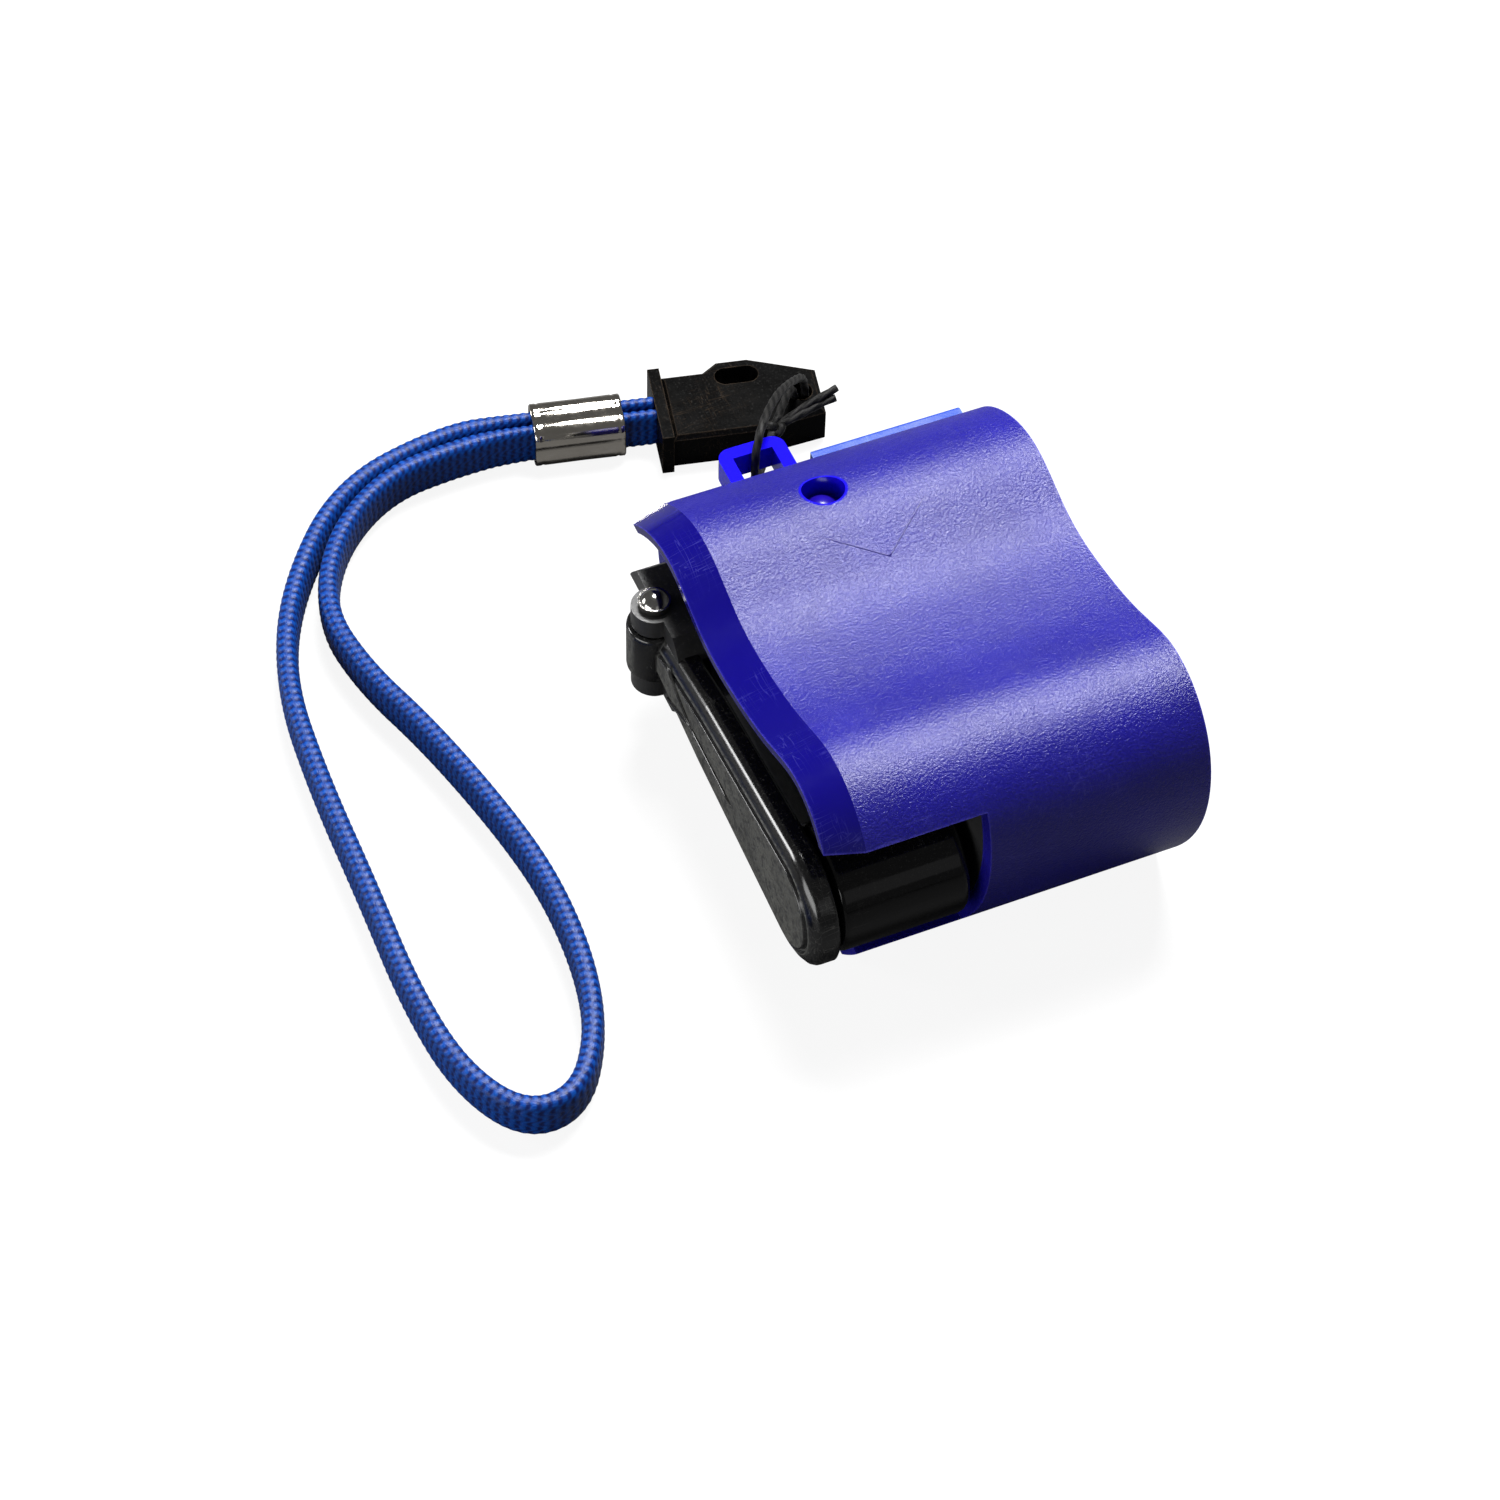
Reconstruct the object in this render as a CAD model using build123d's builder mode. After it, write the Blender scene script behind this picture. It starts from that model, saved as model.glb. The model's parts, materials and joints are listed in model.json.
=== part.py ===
from build123d import *
from math import acos, cos, pi, radians, tan
import os

# Hand crank phone charger: a wavy two-lobed blue case with a fold-away crank on its
# left end, a small generator and gear train inside, and a wrist strap at its back.
# Millimetres. X runs along the case, away from the crank. Y runs from the front lobe
# to the back lobe. Z is up. The origin is the centre of the case's flat underside.

os.makedirs("parts", exist_ok=True)

# ---- driving dimensions: the case ----
case_width = 43.0            # along X, rim to right end
case_front = -30.5           # the front lobe's furthest point
case_back = 30.5             # the back lobe's furthest point
front_crest = 32.0           # height of the front hump
valley = 27.2                # height between the humps
back_crest = 29.6            # height of the back hump
foot_front = -21.8           # where the flat underside ends
foot_back = 24.6
wall = 2.0
seam_z = 4.5                 # the lower shell's top edge
hood_z = 23.8                # lower edge of the upper shell's overhang above the crank
rim_band = 4.2               # width of the bevel along the hood's edge
rim_drop = 1.1               # how far that bevel falls
fit_gap = 0.1                # between pieces that are pushed together
run_gap = 0.05               # radial gap of a turning fit
profile_steps = 28           # points along the humps, for the profiles set in from it
# points of the side profile: in from the nearer lobe's furthest point, and height
front_low = (2.6, 9.0)
front_bulge = (0.0, 20.0)
front_shoulder = (2.9, 28.4)
front_crest_in = 10.0
front_slope = (18.0, 2.3)    # in, and below the crest
valley_front = (-3.6, 0.2)   # Y, and above the valley
valley_y = 4.6
back_crest_in = 16.9
back_slope = (9.1, 2.4)      # in, and below the crest
back_shoulder = (2.7, 8.6)   # in, and below the crest
back_bulge = (0.0, 13.0)
back_low = (2.1, 5.0)

# ---- driving dimensions: the crank ----
crank_y = 15.0
axis_z = 14.5                # height of every shaft
crank_reach = 37.5           # hinge pin to grip axle
plate_x = -16.0              # outer face of the black side frame
plate_thick = 1.6
hub_radius = 8.0
hub_flat = 6.2               # half height between the hub's flats
hub_gap = 0.4
slot_floor_x = -19.2         # how deep the hub's slot for the arm is cut
slot_half = 3.7
pin_x = -22.7
pin_radius = 1.0
pin_head_radius = 1.8
ear_radius = 2.6
knuckle_radius = 3.1
knuckle_half = 3.5
arm_out_x = -23.6
arm_thick = 3.4
arm_waist_half = 5.6
arm_waist_at = 15.0          # from the pin
arm_neck_to = 9.5            # from the pin
arm_tip_radius = 7.6
arm_edge_round = 1.1
grip_radius = 7.0
grip_length = 14.8
grip_gap = 0.4
grip_edge_round = 1.0
axle_radius = 1.5
axle_head_radius = 2.8
axle_head_thick = 1.2
axle_inset = 0.6             # the axle's end below the arm's outer face
shaft_radius = 2.0
bush_wall = 1.4
ring_thick = 0.6
ring_radius = 3.2

# ---- driving dimensions: the pocket that takes the grip ----
pocket_top = 27.0
pocket_wall = 1.2
pocket_side_gap = 1.2        # past the end of the grip
pocket_back_gap = 1.4        # behind the grip

# ---- driving dimensions: gears ----
gear_module = 0.65
pressure_angle = 20.0
tooth_share = 0.42           # of the pitch, so that the teeth have backlash
crank_teeth = 28
pinion_teeth = 10
idler_teeth = 24
rotor_teeth = 8
crank_gear_thick = 3.0
crank_gear_gap = 0.6
idler_gear_thick = 2.4
layer_gap = 0.4
end_play = 0.2
pinion_overhang = 0.4
idler_axle_radius = 1.25
idler_hub_radius = 2.4
rotor_shaft_radius = 1.0

# ---- driving dimensions: generator and gearbox frame ----
frame_thick = 1.7
frame_y = (-12.8, 20.5)
frame_z = (2.4, 25.6)
frame_notch_y = 11.6         # cleared for the indicator's tube
frame_notch_z = 20.4
post_radius = 1.4
post_places = [(8.8, 4.0), (8.8, 24.4), (-4.0, 23.6), (-9.0, 4.9)]
post_screw_radius = 0.6
post_screw_length = 6.0
post_screw_head_radius = 1.2
post_screw_head_thick = 0.8
generator_radius = 10.4
generator_length = 15.5
generator_wall = 0.9
generator_cap_thick = 1.8
can_end_round = 0.7
magnet_thick = 1.8
magnet_length = 10.5
magnet_gap = 4.0
air_gap = 0.5
pole_count = 3
pole_tip = 1.6
pole_width = 3.0
pole_gap = 2.2
core_hub_radius = 2.8
core_length = 9.0

# ---- driving dimensions: board, socket, indicator ----
board_thick = 1.2
board_z = 6.6
board_inset = 2.7            # from the case's right end
board_width = 14.8
board_y = (6.5, 26.4)
board_post_radius = 1.1
board_post_inset = 1.6
socket_width = 13.1
socket_height = 5.7
socket_length = 13.8
socket_sheet = 0.35
socket_inset = 9.9           # middle of the socket, from the case's right end
socket_proud = 0.2
tongue_thick = 1.8
tongue_width = 11.2
tongue_length = 8.6
tongue_base = 2.0
tongue_drop = 0.7
panel_width = 18.5
panel_z = (4.6, 17.6)
panel_out = 1.5
panel_round = 0.5
capacitor_radius = 2.5
capacitor_length = 6.5
chip_size = (5.0, 4.0, 1.5)
part_inset = 3.6             # capacitor and chip from the board's edges
led_x = -2.4
led_y = 16.6
led_radius = 2.3
led_tube_wall = 1.0
led_recess = 2.4
led_length = 5.6

# ---- driving dimensions: screws that close the case ----
screw_inset = 4.9            # the right screws, from the case's right end
screw_front_y = -18.6
screw_middle_y = 1.5
screw_back = (-1.2, 23.4)
screw_radius = 1.1
screw_length = 9.0
screw_head_radius = 2.0
screw_head_depth = 1.2
screw_sink = 0.2
drive_size = (2.4, 0.5)
boss_radius = 2.4

# ---- driving dimensions: lug, clip and strap ----
lug_x = -3.0
lug_z = 16.0
lug_width = 8.0
lug_reach = 5.2
lug_height = 3.2
lug_bar = 1.6
tie_diameter = 1.0
tie_side = 0.7               # each strand beside the middle of the clip's hole
tie_gap = 0.3                # cord to the lug's bar
tie_low = 1.0                # the tie cord's ends
tie_rise = 7.6               # where it leaves the clip's hole
tie_up = [(7.4, 46.6, 13.0), (2.2, 40.2, 18.6)]
tie_down = [(0.8, 39.4, 9.6), (5.4, 45.4, 10.0)]
tie_over = 4.4               # above the lug's middle
tie_under = 5.0              # below the lug's middle
knot_tail = 8.5
knot_tail_lean = 68          # degrees
knot_tail_turns = (18, 36)   # degrees
knot_radius = 1.7
knot_place = (4.0, 43.1, 10.1)
clip_turn = -12.6            # degrees from X, as the clip lies
clip_nose = (13.1, 50.9)     # where the clip's narrow end lies
clip_length = 18.4
clip_half = 5.1
clip_nose_half = 3.5
clip_height = 5.2
clip_bulge = 1.4
clip_edge = 0.5
clip_window = (5.2, 2.6)
window_at = 9.4              # from the nose
clip_hole_radius = 1.4
clip_hole_at = 2.4           # from the nose
mouth_half = 3.8
mouth_height = 3.0
mouth_depth = 5.0
mouth_gap = 0.15
collar_thick = 1.4
collar_height = 6.0
collar_grow = 0.5
web_length = 3.9             # strap seen between crimp and clip
crimp_length = 10.7
crimp_half = 3.2
crimp_height = 6.4
crimp_sheet = 0.45
crimp_round = 1.2
strap_width = 5.4
strap_thick = 1.7
strap_lift = 0.5             # the strap's lower edge above the table
strand_gap = 0.3             # between the strap's two strands in the crimp

# ---- worked out ----
rim_x = -case_width / 2
right_x = case_width / 2
inner_right_x = right_x - wall
board_x = (right_x - board_inset - board_width, right_x - board_inset)
socket_x = right_x - socket_inset
panel_left = right_x - panel_width
screw_x = right_x - screw_inset
screw_places = [(screw_x, screw_front_y), (screw_x, screw_middle_y), screw_back]
plate_in_x = plate_x + plate_thick
hub_in_x = plate_x - hub_gap
arm_in_x = arm_out_x + arm_thick
grip_y = crank_y - crank_reach
grip_start_x = arm_in_x + grip_gap
grip_end_x = grip_start_x + grip_length
cap_x = grip_end_x - axle_head_thick
head_x = cap_x - end_play - axle_head_thick
pocket_right_x = grip_end_x + pocket_side_gap
pocket_back_y = grip_y + grip_radius + pocket_back_gap
liner_x = pocket_right_x + pocket_wall
crank_pitch = gear_module * crank_teeth / 2
pinion_pitch = gear_module * pinion_teeth / 2
idler_pitch = gear_module * idler_teeth / 2
rotor_pitch = gear_module * rotor_teeth / 2
idler_y = crank_y - crank_pitch - pinion_pitch
rotor_y = idler_y - idler_pitch - rotor_pitch
bush_radius = shaft_radius + run_gap + bush_wall
crank_gear_x = plate_in_x + crank_gear_gap
crank_gear_end_x = crank_gear_x + crank_gear_thick
pinion_x = plate_in_x + end_play
idler_gear_x = crank_gear_end_x + layer_gap
idler_gear_end_x = idler_gear_x + idler_gear_thick
rotor_pinion_x = idler_gear_x - pinion_overhang
frame_x = liner_x - frame_thick
generator_x = liner_x + generator_cap_thick
generator_end_x = liner_x + generator_length
can_in_radius = generator_radius - generator_wall
rotor_radius = can_in_radius - magnet_thick - air_gap
rotor_mid_x = (generator_x + generator_end_x - generator_wall) / 2
core_x = rotor_mid_x - core_length / 2
shoe_mid = rotor_radius - pole_tip / 2
board_top = board_z + board_thick
socket_top = board_top + socket_height
socket_face_y = case_back + panel_out + socket_proud
tongue_y = socket_face_y - socket_length + socket_sheet
tongue_top = socket_top - socket_sheet - tongue_drop
led_top = back_crest - led_recess
led_low = led_top - led_length
led_bore = led_radius + fit_gap
ear_top = axis_z + hub_flat
ear_low = axis_z - hub_flat
pin_head_z = ear_top + pin_head_radius / 2
collar_x = -clip_length - collar_thick
crimp_x = collar_x - web_length
strap_end_x = crimp_x - crimp_length
mouth_low = (clip_height - mouth_height) / 2
strand_y = (strand_gap + strap_thick) / 2
strap_mid_z = strap_lift + strap_width / 2
eye_y = case_back + lug_reach - lug_bar - tie_gap - tie_diameter / 2
far = 60.0                   # past everything, for cuts
everywhere = (-far, far)


def rod(x_range, y, z, radius, mode=Mode.ADD):
    """A round bar along X, in the open part."""
    with Locations(((x_range[0] + x_range[1]) / 2, y, z)):
        Cylinder(radius, x_range[1] - x_range[0], rotation=(0, 90, 0), mode=mode)


def post(x, y, z_range, radius, mode=Mode.ADD):
    """A round bar along Z, in the open part."""
    with Locations((x, y, (z_range[0] + z_range[1]) / 2)):
        Cylinder(radius, z_range[1] - z_range[0], mode=mode)


def block(x_range, y_range, z_range, mode=Mode.ADD):
    """A box between two corners, in the open part."""
    ranges = (x_range, y_range, z_range)
    with Locations(tuple((low + high) / 2 for low, high in ranges)):
        Box(*(high - low for low, high in ranges), mode=mode)


def slab(profile, x_range, mode=Mode.ADD):
    """Extrude a Y-Z profile between two X positions, in the open part."""
    with BuildSketch(Plane.YZ.offset(x_range[0])) as section:
        add(profile.sketch)
    extrude(section.sketch, amount=x_range[1] - x_range[0], mode=mode)


def save(builder, label):
    """Name one finished piece and write it as its own STEP file."""
    builder.part.label = label
    export_step(builder.part, f"parts/{label}.step")


# The case's side profile in Y and Z: two humps over a flat underside.
with BuildLine() as hump_line:
    Spline(
        (foot_front, 0.0),
        (case_front + front_low[0], front_low[1]),
        (case_front + front_bulge[0], front_bulge[1]),
        (case_front + front_shoulder[0], front_shoulder[1]),
        (case_front + front_crest_in, front_crest),
        (case_front + front_slope[0], front_crest - front_slope[1]),
        (valley_front[0], valley + valley_front[1]),
        (valley_y, valley),
        (case_back - back_crest_in, back_crest),
        (case_back - back_slope[0], back_crest - back_slope[1]),
        (case_back - back_shoulder[0], back_crest - back_shoulder[1]),
        (case_back - back_bulge[0], back_bulge[1]),
        (case_back - back_low[0], back_low[1]),
        (foot_back, 0.0),
    )
humps = hump_line.edge()


def profile(inset):
    """The case's side profile, set in by one amount all round."""
    shares = [step / profile_steps for step in range(profile_steps + 1)]
    points = [humps @ share + (humps % share).rotate(Axis.Z, -90) * inset for share in shares]
    with BuildSketch() as outline:
        with BuildLine():
            Spline(*points)
            Line(points[-1], points[0])
        make_face()
        with Locations((0, inset)):
            Rectangle(2 * far, far, align=(Align.CENTER, Align.MIN), mode=Mode.INTERSECT)
    return outline


case_profile = profile(0)
cavity_profile = profile(wall)
insert_profile = profile(wall + fit_gap)

# The case's outer shape, with the bevel along the top of its left rim.
with BuildPart() as case_solid:
    slab(case_profile, (rim_x, right_x))
    rim_face = case_solid.faces().sort_by(Axis.X)[0]
    rim_edge = rim_face.edges().sort_by(Axis.Z)[-1]
    chamfer(rim_edge, length=rim_drop, length2=rim_band, reference=rim_face)

# ---- case shells ----
with BuildPart() as bosses:
    for x, y in screw_places:
        post(x, y, (seam_z, far), boss_radius)
    post(led_x, led_y, (led_low, far), led_bore + led_tube_wall)
    add(case_solid.part, mode=Mode.INTERSECT)

with BuildPart() as upper_shell:
    add(case_solid.part)
    slab(cavity_profile, (rim_x - wall, inner_right_x), mode=Mode.SUBTRACT)
    add(bosses.part)
    block(
        (lug_x - lug_width / 2, lug_x + lug_width / 2),
        (case_back - wall / 2, case_back + lug_reach),
        (lug_z - lug_height / 2, lug_z + lug_height / 2),
    )
    lug_corners = upper_shell.edges().filter_by(Axis.Z).group_by(Axis.Y)[-1]
    fillet(lug_corners, radius=lug_bar)
    block(
        (lug_x - lug_width / 2 + lug_bar, lug_x + lug_width / 2 - lug_bar),
        (case_back + fit_gap, case_back + lug_reach - lug_bar),
        (lug_z - lug_height, lug_z + lug_height),
        mode=Mode.SUBTRACT,
    )
    for x, y in screw_places:
        post(x, y, (0, screw_length), screw_radius, mode=Mode.SUBTRACT)
    post(led_x, led_y, (led_low - wall, far), led_bore, mode=Mode.SUBTRACT)
    block((rim_x - wall, plate_x), everywhere, (0, hood_z), mode=Mode.SUBTRACT)
    block(
        (rim_x - wall, pocket_right_x),
        (-far, pocket_back_y),
        (0, pocket_top),
        mode=Mode.SUBTRACT,
    )
    block(
        (socket_x - socket_width / 2 - fit_gap, socket_x + socket_width / 2 + fit_gap),
        (board_y[1] - wall, far),
        (board_z - fit_gap, socket_top + fit_gap),
        mode=Mode.SUBTRACT,
    )
    split(bisect_by=Plane.XY.offset(seam_z), keep=Keep.TOP)
save(upper_shell, "upper_shell")

with BuildPart() as lower_shell:
    slab(case_profile, (plate_x, right_x))
    slab(cavity_profile, (plate_x - wall, inner_right_x), mode=Mode.SUBTRACT)
    split(bisect_by=Plane.XY.offset(seam_z), keep=Keep.BOTTOM)
    for x, y in screw_places:
        post(x, y, (wall / 2, seam_z), boss_radius)
        post(x, y, (-wall, far), screw_radius, mode=Mode.SUBTRACT)
        post(x, y, (-wall, screw_head_depth), screw_head_radius, mode=Mode.SUBTRACT)
    for x in (board_x[0] + board_post_inset, board_x[1] - board_post_inset):
        for y in (board_y[0] + board_post_inset, board_y[1] - 2 * board_post_inset):
            post(x, y, (wall / 2, board_z), board_post_radius)
save(lower_shell, "lower_shell")

with BuildPart() as port_panel:
    block((panel_left, right_x), (foot_back, case_back + panel_out), panel_z)
    panel_edges = port_panel.faces().sort_by(Axis.Y)[-1].edges()
    fillet(panel_edges, radius=panel_round)
    slab(case_profile, (panel_left - wall, right_x + wall), mode=Mode.SUBTRACT)
    block(
        (socket_x - socket_width / 2 - fit_gap, socket_x + socket_width / 2 + fit_gap),
        (board_y[1], far),
        (board_top - fit_gap, socket_top + fit_gap),
        mode=Mode.SUBTRACT,
    )
save(port_panel, "port_panel")

with BuildPart() as case_screws:
    for x, y in screw_places:
        post(x, y, (screw_sink, screw_head_depth), screw_head_radius)
        post(x, y, (screw_head_depth, screw_length), screw_radius)
    with BuildSketch(Plane.XY.offset(screw_sink)):
        with Locations(*screw_places):
            Rectangle(drive_size[0], drive_size[1])
            Rectangle(drive_size[1], drive_size[0])
    extrude(amount=drive_size[1], mode=Mode.SUBTRACT)
save(case_screws, "case_screws")

# ---- black side frame: end plate, grip pocket and gearbox posts ----
with BuildPart() as pocket_liner:
    block(
        (plate_x, liner_x),
        (-far, pocket_back_y + pocket_wall),
        (seam_z - pocket_wall, pocket_top + pocket_wall),
    )
    slab(insert_profile, (plate_x, liner_x), mode=Mode.INTERSECT)

with BuildPart() as side_frame:
    slab(insert_profile, (plate_x, plate_in_x))
    add(pocket_liner.part)
    block(
        (plate_x - wall, pocket_right_x),
        (-far, pocket_back_y),
        (seam_z, pocket_top),
        mode=Mode.SUBTRACT,
    )
    for y, z in post_places:
        rod((plate_in_x, frame_x), y, z, post_radius)
        rod((liner_x - post_screw_length, frame_x), y, z, post_screw_radius, mode=Mode.SUBTRACT)
    rod((plate_x - wall, plate_in_x + wall), crank_y, axis_z, bush_radius, mode=Mode.SUBTRACT)
    rod((plate_x - wall, plate_in_x + wall), idler_y, axis_z, idler_axle_radius, mode=Mode.SUBTRACT)
save(side_frame, "side_frame")

with BuildPart() as hub_bush:
    rod((plate_x, crank_gear_x - end_play), crank_y, axis_z, bush_radius)
    rod((plate_x, crank_gear_x), crank_y, axis_z, shaft_radius + run_gap, mode=Mode.SUBTRACT)
save(hub_bush, "hub_bush")

with BuildPart() as gearbox_frame:
    block((frame_x, liner_x), frame_y, frame_z)
    slab(insert_profile, (frame_x, liner_x), mode=Mode.INTERSECT)
    block((frame_x, liner_x), (frame_notch_y, far), (frame_notch_z, far), mode=Mode.SUBTRACT)
    for y, z in post_places:
        rod((frame_x, liner_x), y, z, post_screw_radius, mode=Mode.SUBTRACT)
        rod((liner_x - post_screw_head_thick, liner_x), y, z, post_screw_head_radius, mode=Mode.SUBTRACT)
    rod((frame_x, liner_x), crank_y, axis_z, shaft_radius + run_gap, mode=Mode.SUBTRACT)
    rod((frame_x, liner_x), idler_y, axis_z, idler_axle_radius, mode=Mode.SUBTRACT)
    rod((frame_x, liner_x), rotor_y, axis_z, rotor_shaft_radius + run_gap, mode=Mode.SUBTRACT)
save(gearbox_frame, "gearbox_frame")

with BuildPart() as frame_screws:
    for y, z in post_places:
        rod((liner_x - post_screw_length, liner_x - post_screw_head_thick), y, z, post_screw_radius)
        rod((liner_x - post_screw_head_thick, liner_x), y, z, post_screw_head_radius)
save(frame_screws, "frame_screws")

with BuildPart() as idler_axle:
    rod((plate_x, liner_x), idler_y, axis_z, idler_axle_radius)
save(idler_axle, "idler_axle")


# ---- gears ----
def gear(x, y, teeth, thick, phase):
    """Add one spur gear to the open part, its teeth drawn through three involute points."""
    pitch_radius = gear_module * teeth / 2
    base_radius = pitch_radius * cos(radians(pressure_angle))
    radii = (pitch_radius - 1.25 * gear_module, pitch_radius, pitch_radius + gear_module)

    def half_angle(radius):
        pressure = acos(min(1.0, base_radius / radius))
        at_pitch = radians(pressure_angle)
        return tooth_share * pi / teeth + tan(at_pitch) - at_pitch - tan(pressure) + pressure

    corners = []
    for tooth in range(teeth):
        middle = phase + 2 * pi * tooth / teeth
        low_side = [(radius, middle - half_angle(radius)) for radius in radii]
        high_side = [(radius, middle + half_angle(radius)) for radius in reversed(radii)]
        for radius, angle in low_side + high_side:
            corners.append(Vector(y, axis_z) + Vector(radius, 0).rotate(Axis.Z, angle * 180 / pi))
    with BuildSketch(Plane.YZ.offset(x)) as outline:
        with BuildLine():
            Polyline(*corners, close=True)
        make_face()
    extrude(outline.sketch, amount=thick)


with BuildPart() as crank_gear:
    gear(crank_gear_x, crank_y, crank_teeth, crank_gear_thick, 0.0)
    rod((crank_gear_x, crank_gear_end_x), crank_y, axis_z, shaft_radius, mode=Mode.SUBTRACT)
save(crank_gear, "crank_gear")

with BuildPart() as idler_gear:
    gear(pinion_x, idler_y, pinion_teeth, idler_gear_x - pinion_x, pi / pinion_teeth)
    gear(idler_gear_x, idler_y, idler_teeth, idler_gear_thick, 0.0)
    rod((idler_gear_end_x, frame_x - end_play), idler_y, axis_z, idler_hub_radius)
    rod((plate_x, frame_x), idler_y, axis_z, idler_axle_radius + run_gap, mode=Mode.SUBTRACT)
save(idler_gear, "idler_gear")

with BuildPart() as rotor_pinion:
    gear(rotor_pinion_x, rotor_y, rotor_teeth, idler_gear_thick + 2 * pinion_overhang, pi / rotor_teeth)
    rod((plate_x, frame_x), rotor_y, axis_z, rotor_shaft_radius, mode=Mode.SUBTRACT)
save(rotor_pinion, "rotor_pinion")

# ---- generator ----
with BuildPart() as generator_can:
    rod((generator_x, generator_end_x), rotor_y, axis_z, generator_radius)
    can_end_edges = generator_can.faces().sort_by(Axis.X)[-1].edges()
    fillet(can_end_edges, radius=can_end_round)
    rod((generator_x, generator_end_x - generator_wall), rotor_y, axis_z, can_in_radius, mode=Mode.SUBTRACT)
    rod((generator_x, generator_end_x), rotor_y, axis_z, rotor_shaft_radius + run_gap, mode=Mode.SUBTRACT)
save(generator_can, "generator_can")

with BuildPart() as generator_cap:
    rod((liner_x, generator_x), rotor_y, axis_z, generator_radius)
    rod((liner_x, generator_x), rotor_y, axis_z, rotor_shaft_radius + run_gap, mode=Mode.SUBTRACT)
save(generator_cap, "generator_cap")

with BuildPart() as generator_magnets:
    with BuildSketch(Plane.YZ.offset(rotor_mid_x - magnet_length / 2)):
        with Locations((rotor_y, axis_z)):
            Circle(can_in_radius)
            Circle(can_in_radius - magnet_thick, mode=Mode.SUBTRACT)
            Rectangle(magnet_gap, 3 * can_in_radius, mode=Mode.SUBTRACT)
    extrude(amount=magnet_length)
save(generator_magnets, "generator_magnets")

with BuildPart() as rotor_core:
    with BuildSketch(Plane.YZ.offset(core_x)):
        with Locations((rotor_y, axis_z)):
            Circle(rotor_radius)
            Circle(rotor_radius - pole_tip, mode=Mode.SUBTRACT)
            with PolarLocations(shoe_mid, pole_count, start_angle=180 / pole_count):
                Rectangle(2 * pole_tip, pole_gap, mode=Mode.SUBTRACT)
            Circle(core_hub_radius)
            with PolarLocations(shoe_mid / 2, pole_count):
                Rectangle(shoe_mid, pole_width)
            Circle(rotor_shaft_radius, mode=Mode.SUBTRACT)
    extrude(amount=core_length)
save(rotor_core, "rotor_core")

with BuildPart() as rotor_winding:
    with BuildSketch(Plane.YZ.offset(core_x)):
        with Locations((rotor_y, axis_z)):
            Circle(rotor_radius - pole_tip)
            Circle(core_hub_radius, mode=Mode.SUBTRACT)
            with PolarLocations(rotor_radius / 2, pole_count):
                Rectangle(rotor_radius, pole_width, mode=Mode.SUBTRACT)
    extrude(amount=core_length)
save(rotor_winding, "rotor_winding")

with BuildPart() as rotor_shaft:
    rod((rotor_pinion_x, generator_end_x), rotor_y, axis_z, rotor_shaft_radius)
save(rotor_shaft, "rotor_shaft")

# ---- circuit board, socket and indicator ----
with BuildPart() as circuit_board:
    block(board_x, board_y, (board_z, board_top))
save(circuit_board, "circuit_board")

with BuildPart() as usb_socket:
    block(
        (socket_x - socket_width / 2, socket_x + socket_width / 2),
        (socket_face_y - socket_length, socket_face_y),
        (board_top, socket_top),
    )
    block(
        (socket_x - socket_width / 2 + socket_sheet, socket_x + socket_width / 2 - socket_sheet),
        (socket_face_y - socket_length + socket_sheet, socket_face_y),
        (board_top + socket_sheet, socket_top - socket_sheet),
        mode=Mode.SUBTRACT,
    )
save(usb_socket, "usb_socket")

with BuildPart() as usb_tongue:
    block(
        (socket_x - tongue_width / 2, socket_x + tongue_width / 2),
        (tongue_y, tongue_y + tongue_base),
        (board_top + socket_sheet, socket_top - socket_sheet),
    )
    block(
        (socket_x - tongue_width / 2, socket_x + tongue_width / 2),
        (tongue_y + tongue_base, tongue_y + tongue_base + tongue_length),
        (tongue_top - tongue_thick, tongue_top),
    )
save(usb_tongue, "usb_tongue")

with BuildPart() as capacitor:
    post(
        board_x[1] - part_inset,
        board_y[0] + part_inset,
        (board_top, board_top + capacitor_length),
        capacitor_radius,
    )
save(capacitor, "capacitor")

with BuildPart() as rectifier:
    with Locations((board_x[0] + part_inset, board_y[0] + part_inset, board_top + chip_size[2] / 2)):
        Box(*chip_size)
save(rectifier, "rectifier")

with BuildPart() as indicator_led:
    post(led_x, led_y, (led_low, led_top - led_radius), led_radius)
    with Locations((led_x, led_y, led_top - led_radius)):
        Sphere(led_radius)
save(indicator_led, "indicator_led")

# ---- crank: hub, shaft and hinge pin ----
with BuildPart() as crank_hub:
    rod((pin_x, hub_in_x), crank_y, axis_z, hub_radius)
    post(pin_x, crank_y, (ear_low, ear_top), ear_radius)
    block(
        (pin_x - hub_radius, hub_in_x),
        (crank_y - hub_radius, crank_y + hub_radius),
        (ear_low, ear_top),
        mode=Mode.INTERSECT,
    )
    block(
        (pin_x - hub_radius, slot_floor_x),
        (crank_y - hub_radius, crank_y + hub_radius),
        (axis_z - slot_half, axis_z + slot_half),
        mode=Mode.SUBTRACT,
    )
    post(pin_x, crank_y, (0, far), pin_radius, mode=Mode.SUBTRACT)
    rod((slot_floor_x, hub_in_x), crank_y, axis_z, shaft_radius, mode=Mode.SUBTRACT)
save(crank_hub, "crank_hub")

with BuildPart() as crank_shaft:
    rod((slot_floor_x, liner_x), crank_y, axis_z, shaft_radius)
save(crank_shaft, "crank_shaft")

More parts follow.
